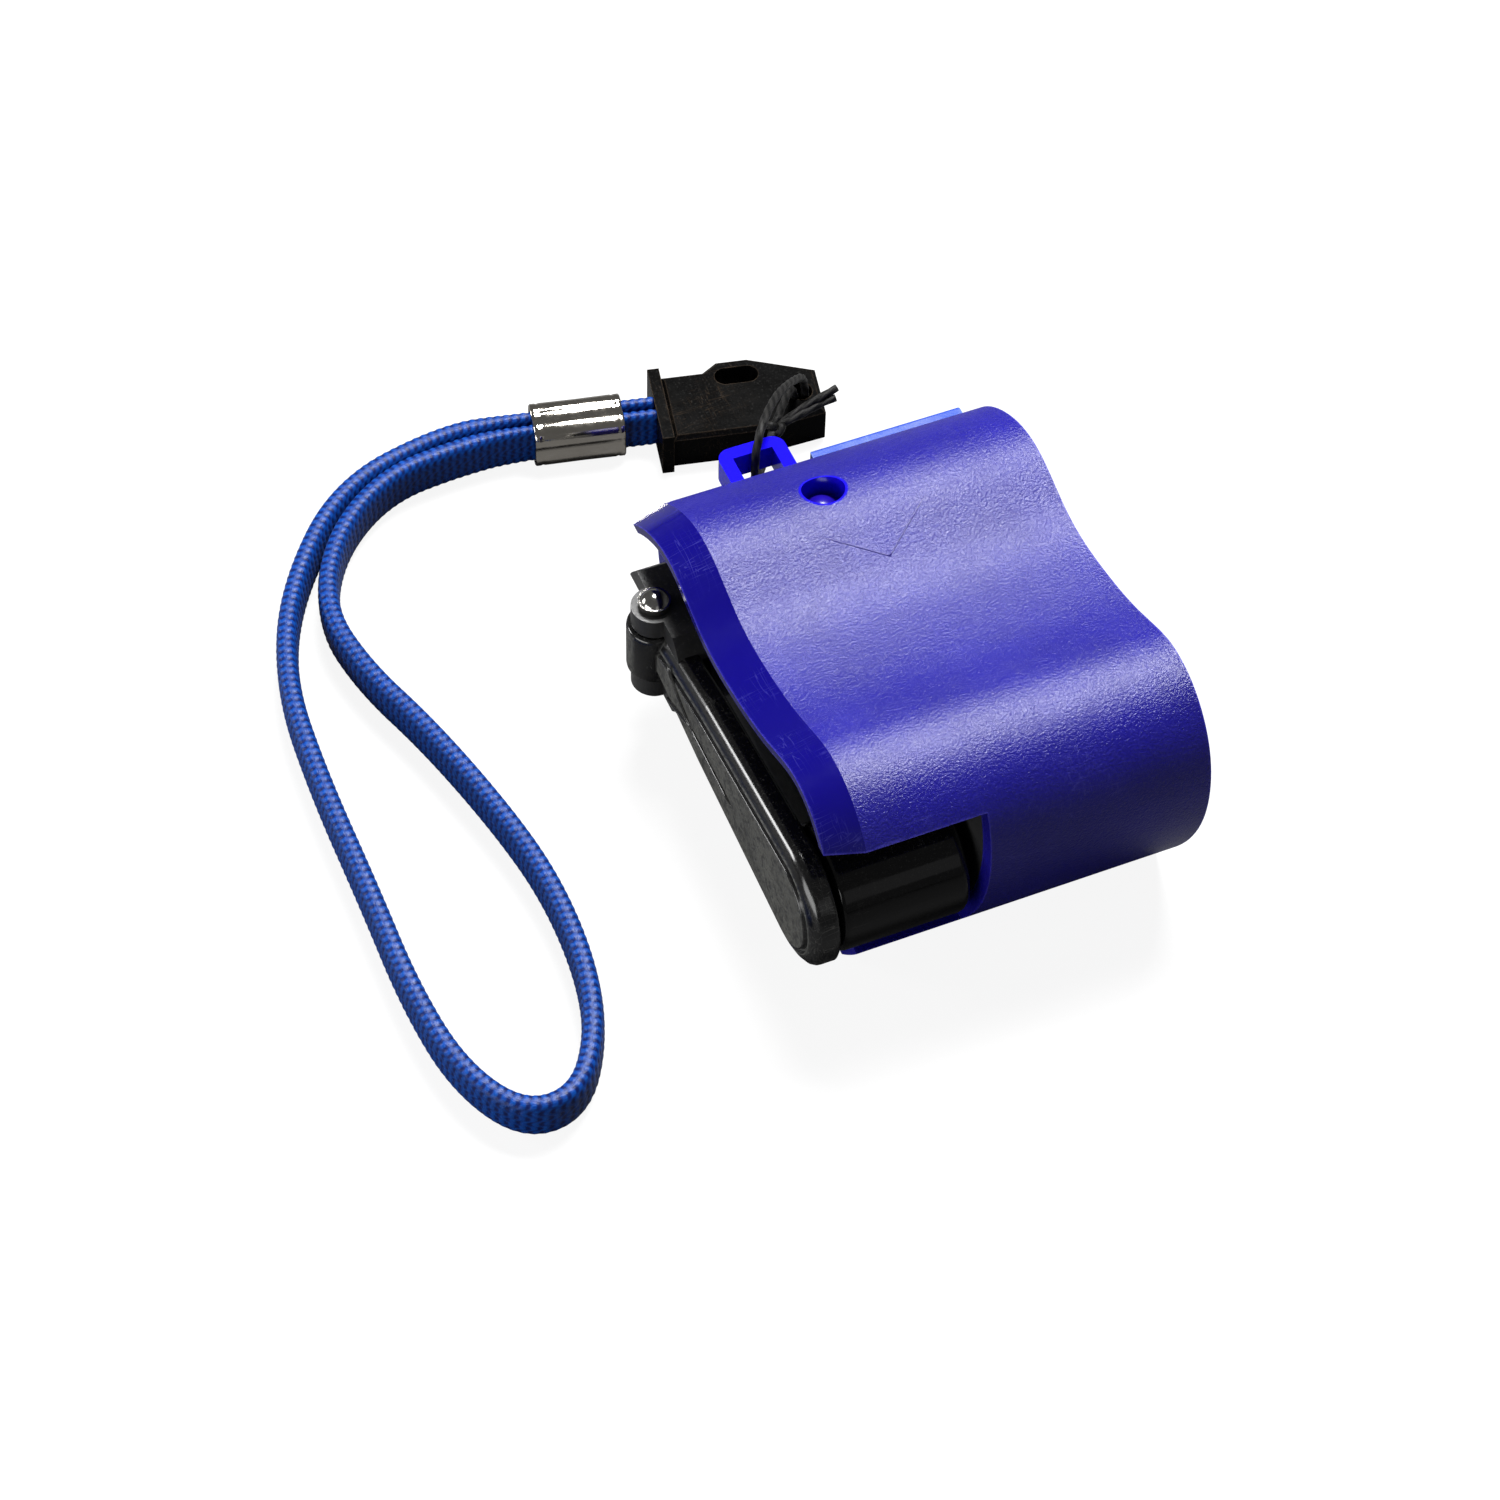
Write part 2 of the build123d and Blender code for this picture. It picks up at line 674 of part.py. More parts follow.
with BuildPart() as retaining_ring:
    rod((crank_gear_end_x, crank_gear_end_x + ring_thick), crank_y, axis_z, ring_radius)
    rod((crank_gear_end_x, frame_x), crank_y, axis_z, shaft_radius, mode=Mode.SUBTRACT)
    block(
        (crank_gear_end_x, frame_x),
        (crank_y - shaft_radius / 2, crank_y + shaft_radius / 2),
        (0, axis_z),
        mode=Mode.SUBTRACT,
    )
save(retaining_ring, "retaining_ring")

with BuildPart() as hinge_pin:
    post(pin_x, crank_y, (ear_low - pin_radius, pin_head_z), pin_radius)
    post(pin_x, crank_y, (ear_low - pin_radius, ear_low), pin_head_radius)
    post(pin_x, crank_y, (ear_top, pin_head_z), pin_head_radius)
    with Locations((pin_x, crank_y, pin_head_z)):
        Sphere(pin_head_radius, arc_size1=0)
save(hinge_pin, "hinge_pin")

# ---- crank: arm and grip ----
with BuildPart() as crank_arm:
    with BuildSketch(Plane.YZ.offset(arm_out_x)):
        with Locations((crank_y - knuckle_half, axis_z)):
            Circle(knuckle_half)
        with Locations((crank_y - arm_waist_at, axis_z)):
            Circle(arm_waist_half)
        with Locations((grip_y, axis_z)):
            Circle(arm_tip_radius)
        make_hull()
    extrude(amount=arm_thick)
    outer_edges = crank_arm.faces().sort_by(Axis.X)[0].edges()
    fillet(outer_edges, radius=arm_edge_round)
    for side_low, side_high in ((0, axis_z - knuckle_half), (axis_z + knuckle_half, far)):
        block((arm_out_x, arm_in_x), (crank_y - arm_neck_to, far), (side_low, side_high), mode=Mode.SUBTRACT)
    post(pin_x, crank_y, (axis_z - knuckle_half, axis_z + knuckle_half), knuckle_radius)
    post(pin_x, crank_y, (0, far), pin_radius + run_gap, mode=Mode.SUBTRACT)
    rod((arm_out_x + axle_inset, arm_in_x), grip_y, axis_z, axle_radius, mode=Mode.SUBTRACT)
save(crank_arm, "crank_arm")

with BuildPart() as grip_axle:
    rod((arm_out_x + axle_inset, head_x), grip_y, axis_z, axle_radius)
    rod((head_x, head_x + axle_head_thick), grip_y, axis_z, axle_head_radius)
save(grip_axle, "grip_axle")

with BuildPart() as crank_grip:
    rod((grip_start_x, grip_end_x), grip_y, axis_z, grip_radius)
    fillet(crank_grip.edges().filter_by(GeomType.CIRCLE), radius=grip_edge_round)
    rod((grip_start_x, grip_end_x), grip_y, axis_z, axle_radius + run_gap, mode=Mode.SUBTRACT)
    rod(
        (head_x - end_play, grip_end_x),
        grip_y,
        axis_z,
        axle_head_radius + fit_gap,
        mode=Mode.SUBTRACT,
    )
save(crank_grip, "crank_grip")

with BuildPart() as grip_cap:
    rod((cap_x, grip_end_x), grip_y, axis_z, axle_head_radius + fit_gap)
save(grip_cap, "grip_cap")

# ---- clip, crimp and strap, lying on the table behind the case ----
clip_plane = Plane(
    origin=(clip_nose[0], clip_nose[1], 0),
    x_dir=Vector(1, 0, 0).rotate(Axis.Z, clip_turn),
    z_dir=(0, 0, 1),
)


def clip_box(x_range, half, z_range, mode=Mode.ADD):
    """A box in the clip's own frame: along it, across it and up."""
    with BuildSketch(clip_plane.offset(z_range[0])) as section:
        with Locations(((x_range[0] + x_range[1]) / 2, 0)):
            Rectangle(x_range[1] - x_range[0], 2 * half)
    extrude(section.sketch, amount=z_range[1] - z_range[0], mode=mode)


with BuildPart() as clip_socket:
    with BuildSketch(clip_plane):
        with BuildLine():
            Polyline(
                (0, -clip_nose_half),
                (0, clip_nose_half),
                (-clip_length * 0.30, clip_half + clip_bulge * 0.4),
                (-clip_length * 0.42, clip_half + clip_bulge),
                (-clip_length * 0.62, clip_half + clip_bulge),
                (-clip_length * 0.72, clip_half),
                (-clip_length, clip_half),
                (-clip_length, -clip_half),
                (-clip_length * 0.45, -clip_half),
                close=True,
            )
        make_face()
    extrude(amount=clip_height)
    flat_faces = clip_socket.faces().filter_by(Axis.Z)
    chamfer(flat_faces.edges(), length=clip_edge)
    clip_box(
        (-clip_length, mouth_depth - clip_length),
        mouth_half + mouth_gap,
        (mouth_low - mouth_gap, mouth_low + mouth_height + mouth_gap),
        mode=Mode.SUBTRACT,
    )
    with BuildSketch(clip_plane):
        with Locations((-window_at, clip_half - clip_window[1] / 2)):
            SlotOverall(*clip_window)
        with Locations((-clip_hole_at, 0)):
            Circle(clip_hole_radius)
    extrude(amount=clip_height, mode=Mode.SUBTRACT)
save(clip_socket, "clip_socket")

with BuildPart() as clip_plug:
    clip_box((collar_x, -clip_length), clip_half + collar_grow, (0, collar_height))
    clip_box(
        (-clip_length, mouth_depth - clip_length - mouth_gap),
        mouth_half,
        (mouth_low, mouth_low + mouth_height),
    )
save(clip_plug, "clip_plug")

crimp_plane = Plane(
    origin=clip_plane.from_local_coords(Vector(strap_end_x, 0, crimp_height / 2)),
    x_dir=(0, 0, 1),
    z_dir=clip_plane.x_dir,
)
with BuildPart() as strap_crimp:
    with BuildSketch(crimp_plane):
        RectangleRounded(crimp_height, 2 * crimp_half, crimp_round)
        RectangleRounded(
            crimp_height - 2 * crimp_sheet,
            2 * (crimp_half - crimp_sheet),
            crimp_round - crimp_sheet,
            mode=Mode.SUBTRACT,
        )
    extrude(amount=crimp_length)
save(strap_crimp, "strap_crimp")

# The strap's loop on the table, from the crimp round and back to it.
strap_route = [
    (-30.9, 61.1),
    (-44.6, 57.7),
    (-54.8, 45.5),
    (-59.7, 33.2),
    (-60.8, 18.3),
    (-60.9, 2.3),
    (-61.3, -11.7),
    (-60.1, -23.2),
    (-55.9, -30.9),
    (-49.7, -30.8),
    (-45.1, -23.9),
    (-42.9, -15.0),
    (-42.5, -3.8),
    (-44.1, 7.1),
    (-47.3, 20.5),
    (-51.0, 31.2),
    (-52.2, 41.2),
    (-47.6, 50.7),
    (-39.2, 57.3),
    (-29.6, 58.3),
]


def bend_radii(points, share=0.45):
    """The largest arc that each inner corner of a route has room for."""
    radii = []
    for before, here, after in zip(points, points[1:], points[2:]):
        run_in = Vector(*here) - Vector(*before)
        run_out = Vector(*after) - Vector(*here)
        turn = radians(run_in.get_angle(run_out))
        radii.append(share * min(run_in.length, run_out.length) / tan(turn / 2))
    return radii


def strand_end(x, y):
    """A point of the strap inside the crimp, from the clip's own frame."""
    return tuple(clip_plane.from_local_coords(Vector(x, y, strap_mid_z)))


strap_points = [strand_end(collar_x, strand_y), strand_end(strap_end_x - wall, strand_y)]
strap_points += [(x, y, strap_mid_z) for x, y in strap_route]
strap_points += [strand_end(strap_end_x - wall, -strand_y), strand_end(collar_x, -strand_y)]
strap_radii = bend_radii(strap_points)
with BuildPart() as wrist_strap:
    with BuildLine() as strap_path:
        FilletPolyline(*strap_points, radius=strap_radii)
    strap_line = strap_path.wire()
    with BuildSketch(Plane(origin=strap_line @ 0, x_dir=(0, 0, 1), z_dir=strap_line % 0)):
        Rectangle(strap_width, strap_thick)
    sweep()
save(wrist_strap, "wrist_strap")
strap_share = wrist_strap.part.volume / (strap_line.length * strap_width * strap_thick)
print("wrist_strap smallest bend", round(min(strap_radii), 1))
print("wrist_strap length", round(strap_line.length, 1))
print("wrist_strap volume / section x length", round(strap_share, 4))

# ---- tie cord from the clip's nose, through the lug's eye and back ----
nose_hole = clip_plane.from_local_coords(Vector(-clip_hole_at, 0, 0))
tie_route = [
    (nose_hole.X + tie_side, nose_hole.Y, tie_low),
    (nose_hole.X + tie_side, nose_hole.Y, tie_rise),
    *tie_up,
    (lug_x, eye_y, lug_z + tie_over),
    (lug_x, eye_y, lug_z - tie_under),
    *tie_down,
    (nose_hole.X - tie_side, nose_hole.Y, tie_rise),
    (nose_hole.X - tie_side, nose_hole.Y, tie_low),
]
tie_radii = bend_radii(tie_route)
with BuildPart() as tie_cord:
    with BuildLine() as tie_path:
        FilletPolyline(*tie_route, radius=tie_radii)
    tie_line = tie_path.wire()
    with BuildSketch(Plane(origin=tie_line @ 0, z_dir=tie_line % 0)):
        Circle(tie_diameter / 2)
    sweep()
save(tie_cord, "tie_cord")
tie_share = tie_cord.part.volume / (tie_line.length * pi * tie_diameter**2 / 4)
print("tie_cord smallest bend", round(min(tie_radii), 1))
print("tie_cord length", round(tie_line.length, 1))
print("tie_cord volume / section x length", round(tie_share, 4))

with BuildPart() as tie_knot:
    with Locations(knot_place):
        Sphere(knot_radius)
    for turn in knot_tail_turns:
        with Locations(Location(knot_place, (0, knot_tail_lean, turn))):
            Cylinder(tie_diameter / 2, knot_tail, align=(Align.CENTER, Align.CENTER, Align.MIN))
    add(tie_cord.part, mode=Mode.SUBTRACT)
save(tie_knot, "tie_knot")
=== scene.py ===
"""Looks of a hand crank phone charger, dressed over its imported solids, in metres."""

import json
import math

import bmesh
import bpy
from bpy.props import FloatProperty, FloatVectorProperty, PointerProperty
from bpy.types import Operator, Panel, PropertyGroup
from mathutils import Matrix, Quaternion, Vector
from mathutils.bvhtree import BVHTree

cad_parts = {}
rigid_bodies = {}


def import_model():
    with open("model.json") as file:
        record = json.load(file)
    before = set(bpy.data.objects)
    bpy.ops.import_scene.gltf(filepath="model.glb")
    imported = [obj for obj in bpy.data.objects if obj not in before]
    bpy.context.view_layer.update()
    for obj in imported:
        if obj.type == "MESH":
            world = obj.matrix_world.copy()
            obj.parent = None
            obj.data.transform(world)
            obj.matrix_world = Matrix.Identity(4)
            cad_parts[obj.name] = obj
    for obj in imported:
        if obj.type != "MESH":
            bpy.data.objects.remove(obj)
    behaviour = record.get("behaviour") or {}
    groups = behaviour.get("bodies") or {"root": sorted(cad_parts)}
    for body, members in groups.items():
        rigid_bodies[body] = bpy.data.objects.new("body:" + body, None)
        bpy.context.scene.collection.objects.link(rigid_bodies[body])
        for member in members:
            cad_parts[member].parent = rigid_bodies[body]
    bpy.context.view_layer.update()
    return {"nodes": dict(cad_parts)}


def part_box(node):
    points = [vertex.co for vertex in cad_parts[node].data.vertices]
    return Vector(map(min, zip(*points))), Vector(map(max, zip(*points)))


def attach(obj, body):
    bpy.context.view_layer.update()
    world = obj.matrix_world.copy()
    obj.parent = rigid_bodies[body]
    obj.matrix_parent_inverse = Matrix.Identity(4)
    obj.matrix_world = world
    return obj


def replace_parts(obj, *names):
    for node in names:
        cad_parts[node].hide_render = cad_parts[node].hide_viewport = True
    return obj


bl_info = {
    "name": "Hand Crank Charger",
    "version": (1, 0, 0),
    "blender": (4, 5, 0),
    "location": "View3D > Sidebar > Charger",
    "description": "Finishes for a blue hand crank charger and its wrist strap",
    "category": "Object",
}

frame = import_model()

MM = 0.001
PHOTO_SIDE = 1500
SENSOR = 36.0


def paint(red, green, blue):
    """A colour written as 0 to 255 screen values, as Blender's linear values."""
    def linear(value):
        part = value / 255
        return part / 12.92 if part <= 0.04045 else ((part + 0.055) / 1.055) ** 2.4
    return (linear(red), linear(green), linear(blue))


def colour(label, words, default):
    return FloatVectorProperty(name=label, description=words, default=default, subtype="COLOR",
                               size=3, min=0, max=1)


def length(label, words, default):
    return FloatProperty(name=label, description=words, default=default * MM, unit="LENGTH",
                         min=0, precision=5)


# ---------------------------------------------------------------- what a user would change


class CaseLook(PropertyGroup):
    shell: colour("Shell", "Frosted blue of both shells", paint(8, 1, 120))
    # Darker blue for the shell's uneven patches, and also painted shade on the hood's rim bevel
    shell_tone_and_rim_shade: colour("Shell shade", "Blue between the grains of the frosting", paint(4, 0, 92))
    # Painted glint: pale colour put on the tips of the frost grains
    glint: colour("Frost speck", "Pale tips of the frosting", paint(150, 148, 226))
    clear: colour("Clear blue", "Polished lug and indicator hole", paint(20, 10, 190))
    panel: colour("Port panel", "Paler blue of the panel round the port", paint(44, 74, 166))
    frost_size: length("Frost", "Size of a grain of the frosting", 0.32)
    frost_depth: length("Frost depth", "Height of a grain of the frosting", 0.055)
    crease_width: length("Crease", "Width of the moulded chevron line", 0.24)


class CrankLook(PropertyGroup):
    arm: colour("Arm", "Dark grey of the grained arm", paint(80, 80, 75))
    gloss: colour("Polished black", "Black of the grip and the arm's rim", paint(9, 9, 10))
    pin: colour("Pin", "Bright steel of the hinge pin", paint(200, 198, 194))
    rib_height: length("Rib", "How far the ribs stand out of the arm", 0.32)
    rib_width: length("Rib width", "Width of a rib at its foot", 0.75)
    grain_size: length("Grain", "Size of the arm's moulded grain", 0.8)


class CordLook(PropertyGroup):
    strap: colour("Strap", "Bright blue of the woven strap", paint(0, 46, 130))
    # Painted shade down between the strap's threads, and also the darker blue of its uneven patches
    strap_gap_shade: colour("Strap shade", "Blue down between the threads", paint(1, 20, 76))
    cord: colour("Tie cord", "Black of the waxed tie cord", paint(20, 19, 18))
    stitch_length: length("Stitch length", "One thread crossing along the strap", 1.0)
    stitch_width: length("Stitch width", "One thread crossing round the strap", 0.84)
    stitch_height: length("Stitch height", "How far a thread stands out", 0.13)
    swell: FloatProperty(name="Swell", description="How much thicker the strap is away from its crimp",
                         default=1.5)
    strap_width: length("Strap width", "Width of the woven strap", 5.4)
    strap_thick: length("Strap thickness", "Thickness of the woven strap", 1.74)
    tie_diameter: length("Tie cord diameter", "Diameter of the tie cord", 1.0)


class MetalLook(PropertyGroup):
    nickel: colour("Nickel", "Plated crimp", paint(206, 200, 190))
    steel: colour("Steel", "Bright steel of screws and shafts", paint(176, 178, 182))
    brass: colour("Brass", "Sintered bearing bush", paint(190, 150, 84))
    copper: colour("Copper", "Enamelled copper windings", paint(186, 92, 42))
    board: colour("Board", "Solder mask of the circuit board", paint(24, 96, 52))


class StageLook(PropertyGroup):
    azimuth: FloatProperty(name="Azimuth", description="Camera's turn round the charger",
                           default=math.radians(-24.34), subtype="ANGLE")
    elevation: FloatProperty(name="Elevation", description="Camera's height above the table",
                             default=math.radians(51.5), subtype="ANGLE")
    distance: FloatProperty(name="Distance", description="Camera to the aim point", default=0.45244,
                            unit="LENGTH")
    focal_pixels: FloatProperty(name="Focal", description="Focal length in image pixels",
                                default=4200.0)
    roll: FloatProperty(name="Roll", description="Camera's tilt about its own line of sight",
                        default=math.radians(1.69), subtype="ANGLE")
    aim: FloatVectorProperty(name="Aim", description="Point at the middle of the picture",
                             default=(-0.01812, -0.00102, 0.012), size=3, unit="LENGTH")
    floor: colour("Floor", "Plain pale floor", (0.07, 0.07, 0.07))
    key_power: FloatProperty(name="Key lamp", description="Power of the lamp above", default=8.0)
    fill_power: FloatProperty(name="Fill lamp", description="Power of the lamp at the left",
                              default=2.3)
    sky: FloatProperty(name="Sky", description="Strength of the even light all round",
                       default=0.13)


# ---------------------------------------------------------------- shader building blocks


class Nodes:
    """Short calls for placing and linking nodes in one tree."""

    def __init__(self, tree):
        self.tree = tree

    def add(self, kind, values=None, **settings):
        node = self.tree.nodes.new(kind)
        for name, value in settings.items():
            setattr(node, name, value)
        for name, value in (values or {}).items():
            self.put(node.inputs[name], value)
        return node

    def put(self, socket, value):
        if isinstance(value, bpy.types.NodeSocket):
            self.tree.links.new(value, socket)
        elif hasattr(value, "__len__") and len(value) == 3 and len(socket.default_value) == 4:
            socket.default_value = (*value, 1.0)
        else:
            socket.default_value = value

    def maths(self, operation, first, second=0.0, clamp=False):
        return self.add("ShaderNodeMath", {0: first, 1: second}, operation=operation,
                        use_clamp=clamp).outputs[0]

    def times(self, first, second, clamp=False):
        return self.maths("MULTIPLY", first, second, clamp)

    def spread(self, value, low, high, to_low=0.0, to_high=1.0, smooth=False):
        kind = "SMOOTHSTEP" if smooth else "LINEAR"
        node = self.add("ShaderNodeMapRange", {"Value": value, "From Min": low, "From Max": high,
                                               "To Min": to_low, "To Max": to_high})
        node.interpolation_type = kind
        return node.outputs[0]

    def blend(self, share_of, first, second, kind="MIX"):
        node = self.add("ShaderNodeMix", data_type="RGBA", blend_type=kind)
        self.put(node.inputs[0], share_of)
        self.put(node.inputs[6], first)
        self.put(node.inputs[7], second)
        return node.outputs[2]

    def place(self):
        """Object coordinates in millimetres."""
        spot = self.add("ShaderNodeTexCoord").outputs["Object"]
        return self.add("ShaderNodeVectorMath", {0: spot, "Scale": 1 / MM},
                        operation="SCALE").outputs[0]

    def noise(self, vector, scale, detail=2.0, rough=0.5):
        return self.add("ShaderNodeTexNoise", {"Vector": vector, "Scale": scale, "Detail": detail,
                                               "Roughness": rough}).outputs["Fac"]


def new_group(name, inputs, outputs):
    tree = bpy.data.node_groups.new(name, "ShaderNodeTree")
    for label, kind, default in inputs:
        socket = tree.interface.new_socket(name=label, in_out="INPUT", socket_type=kind)
        socket.default_value = (*default, 1.0) if kind == "NodeSocketColor" else default
    for label, kind in outputs:
        tree.interface.new_socket(name=label, in_out="OUTPUT", socket_type=kind)
    nodes = Nodes(tree)
    return nodes, nodes.add("NodeGroupInput").outputs, nodes.add("NodeGroupOutput").inputs


NUMBER = "NodeSocketFloat"
COLOUR = "NodeSocketColor"
VECTOR = "NodeSocketVector"


def make_grain_group():
    """Fine moulded or blasted grain: a height for Bump and a speckle mask."""
    nodes, inside, out = new_group("Moulded grain", [("Size", NUMBER, 0.3), ("Depth", NUMBER, 0.02)],
                                   [("Height", NUMBER), ("Speckle", NUMBER)])
    scale = nodes.maths("DIVIDE", 1.0, inside["Size"])
    place = nodes.place()
    coarse = nodes.noise(place, scale, 3.0, 0.6)
    fine = nodes.noise(place, nodes.times(scale, 2.3), 1.0)
    both = nodes.maths("ADD", nodes.times(coarse, 0.7), nodes.times(fine, 0.3))
    crisp = nodes.spread(both, 0.34, 0.66)
    nodes.put(out["Height"], nodes.times(nodes.times(crisp, inside["Depth"]), MM))
    nodes.put(out["Speckle"], crisp)
    return nodes.tree


def make_edge_group():
    """Where edges are, softened by a bevel radius: 0 on faces, 1 on edges."""
    nodes, inside, out = new_group("Edge wear", [("Radius", NUMBER, 0.3), ("Breakup", NUMBER, 0.5)],
                                   [("Mask", NUMBER)])
    radius = nodes.times(inside["Radius"], MM)
    bevel = nodes.add("ShaderNodeBevel", {"Radius": radius}, samples=4).outputs[0]
    flat = nodes.add("ShaderNodeNewGeometry").outputs["Normal"]
    turn = nodes.add("ShaderNodeVectorMath", {0: bevel, 1: flat}, operation="DOT_PRODUCT")
    edge = nodes.spread(turn.outputs["Value"], 0.985, 0.86)
    patches = nodes.spread(nodes.noise(nodes.place(), 0.9, 4.0, 0.65), 0.35, 0.62)
    broken = nodes.blend(inside["Breakup"], (1.0, 1.0, 1.0), patches)
    nodes.put(out["Mask"], nodes.times(edge, broken, clamp=True))
    return nodes.tree


def make_variation_group():
    """Slow unevenness of colour and polish, as a moulding or handled part has."""
    nodes, inside, out = new_group(
        "Handled surface",
        [("Color", COLOUR, (0.5, 0.5, 0.5)), ("Shade", COLOUR, (0.4, 0.4, 0.4)),
         ("Patch Size", NUMBER, 9.0), ("Amount", NUMBER, 0.5), ("Roughness", NUMBER, 0.4),
         ("Roughness Spread", NUMBER, 0.08)],
        [("Color", COLOUR), ("Roughness", NUMBER)])
    scale = nodes.maths("DIVIDE", 1.0, inside["Patch Size"])
    place = nodes.place()
    patch = nodes.spread(nodes.noise(place, scale, 3.0, 0.55), 0.32, 0.68)
    smudge = nodes.spread(nodes.noise(place, nodes.times(scale, 2.7), 5.0, 0.7), 0.4, 0.7)
    mix = nodes.times(patch, inside["Amount"])
    nodes.put(out["Color"], nodes.blend(mix, inside["Color"], inside["Shade"]))
    swing = nodes.times(nodes.maths("SUBTRACT", smudge, 0.5), inside["Roughness Spread"])
    nodes.put(out["Roughness"], nodes.maths("ADD", inside["Roughness"], swing, clamp=True))
    return nodes.tree


def make_scratch_group():
    """Hairline scratches: sparse, long and thin, in two directions."""
    nodes, inside, out = new_group("Hairlines", [("Density", NUMBER, 1.0)], [("Mask", NUMBER)])
    place = nodes.place()
    masks = []
    for turn, stretch in ((0.5, (0.25, 6.0, 1.2)), (-0.9, (5.0, 0.22, 1.1))):
        mapped = nodes.add("ShaderNodeMapping", {"Vector": place, "Rotation": (0.2, 0.1, turn),
                                                 "Scale": stretch}).outputs[0]
        line = nodes.noise(mapped, inside["Density"], 1.0)
        masks.append(nodes.spread(nodes.maths("ABSOLUTE", nodes.maths("SUBTRACT", line, 0.5)),
                                  0.012, 0.0))
    worn = nodes.spread(nodes.noise(place, 0.12, 2.0), 0.45, 0.62)
    both = nodes.maths("MAXIMUM", masks[0], masks[1])
    nodes.put(out["Mask"], nodes.times(both, worn))
    return nodes.tree


def make_drawn_group():
    """Fine lines left by drawing, turning or rolling metal along one direction."""
    nodes, inside, out = new_group("Drawn metal", [("Stretch", VECTOR, (1.0, 1.0, 1.0)),
                                                   ("Depth", NUMBER, 0.004)],
                                   [("Height", NUMBER), ("Streak", NUMBER)])
    mapped = nodes.add("ShaderNodeVectorMath", {0: nodes.place(), 1: inside["Stretch"]},
                       operation="MULTIPLY").outputs[0]
    streak = nodes.spread(nodes.noise(mapped, 1.0, 4.0, 0.7), 0.3, 0.7)
    nodes.put(out["Height"], nodes.times(nodes.times(streak, inside["Depth"]), MM))
    nodes.put(out["Streak"], streak)
    return nodes.tree


def make_dust_group():
    """Pale dust that settles on upward faces."""
    nodes, inside, out = new_group("Settled dust", [("Amount", NUMBER, 0.3)], [("Mask", NUMBER)])
    up = nodes.add("ShaderNodeSeparateXYZ",
                   {0: nodes.add("ShaderNodeTexCoord").outputs["Normal"]}).outputs["Z"]
    fleck = nodes.spread(nodes.noise(nodes.place(), 3.1, 4.0, 0.8), 0.56, 0.72)
    facing = nodes.spread(up, 0.2, 0.95)
    nodes.put(out["Mask"], nodes.times(nodes.times(fleck, facing),
                                       inside["Amount"]))
    return nodes.tree


def make_weave_group():
    """Fibres inside each thread of a woven cord, from its own map, with painted shade down between the
    threads and a painted highlight on their raised tops.
    """
    nodes, inside, out = new_group(
        "Woven fibres", [("Thread", COLOUR, (0.1, 0.2, 0.6)), ("Gap", COLOUR, (0.0, 0.1, 0.3)),
                         ("Pale", COLOUR, (0.2, 0.4, 0.9)),
                         ("Fibre Depth", NUMBER, 0.02)],
        [("Color", COLOUR), ("Height", NUMBER)])
    map_of = nodes.add("ShaderNodeUVMap", uv_map="weave").outputs[0]
    stretched = nodes.add("ShaderNodeMapping", {"Vector": map_of, "Rotation": (0.0, 0.0, 0.5),
                                                "Scale": (1.5, 9.0, 1.0)}).outputs[0]
    fibre = nodes.spread(nodes.noise(stretched, 1.0, 3.0, 0.6), 0.3, 0.7)
    raised = nodes.add("ShaderNodeAttribute", attribute_name="raised").outputs["Fac"]
    hue = nodes.spread(nodes.noise(map_of, 0.35, 3.0), 0.35, 0.65)
    # top is 1 on the threads' raised crowns: the pale fibres there are a painted highlight, and the
    # Gap colour below them is painted shade
    top = nodes.spread(raised, 0.15, 0.75, smooth=True)
    pale = nodes.times(nodes.times(fibre, top), 0.22)
    base = nodes.blend(top, inside["Gap"], inside["Thread"])
    uneven = nodes.blend(nodes.times(hue, 0.3), base, inside["Gap"])
    nodes.put(out["Color"], nodes.blend(pale, uneven, inside["Pale"], "SCREEN"))
    nodes.put(out["Height"], nodes.times(nodes.times(fibre, inside["Fibre Depth"]), MM))
    return nodes.tree


GROUPS = {}
GROUP_MAKERS = {"grain": make_grain_group, "edge": make_edge_group, "variation": make_variation_group,
                "scratch": make_scratch_group, "drawn": make_drawn_group, "dust": make_dust_group,
                "weave": make_weave_group}


def group(nodes, name, **values):
    if name not in GROUPS:
        GROUPS[name] = GROUP_MAKERS[name]()
    node = nodes.add("ShaderNodeGroup", node_tree=GROUPS[name])
    for label, value in values.items():
        nodes.put(node.inputs[label.replace("_", " ").title()], value)
    return node.outputs


def new_material(name):
    material = bpy.data.materials.new(name)
    material.use_nodes = True
    nodes = Nodes(material.node_tree)
    shader = next(n for n in material.node_tree.nodes if n.type == "BSDF_PRINCIPLED")
    return material, nodes, shader


def handled(name, base, shade, patch, amount, rough, spread):
    """A new material, with the slow unevenness of a handled surface to build on."""
    material, nodes, shader = new_material(name)
    skin = group(nodes, "variation", color=base, shade=shade, patch_size=patch, amount=amount,
                 roughness=rough, roughness_spread=spread)
    return material, nodes, shader, skin


def feed(nodes, shader, base, rough, height=None, **constants):
    """Colour, roughness and bump into the shader, and constants straight on its sockets."""
    nodes.put(shader.inputs["Base Color"], base)
    nodes.put(shader.inputs["Roughness"], rough)
    for label, value in constants.items():
        shader.inputs[label.replace("_", " ")].default_value = value
    if height is not None:
        node = nodes.add("ShaderNodeBump", {"Height": height, "Distance": 1.0, "Strength": 1.0})
        nodes.put(shader.inputs["Normal"], node.outputs[0])


def rubbed_edges(nodes, radius, breakup, amount):
    return nodes.times(group(nodes, "edge", radius=radius, breakup=breakup)["Mask"], amount)


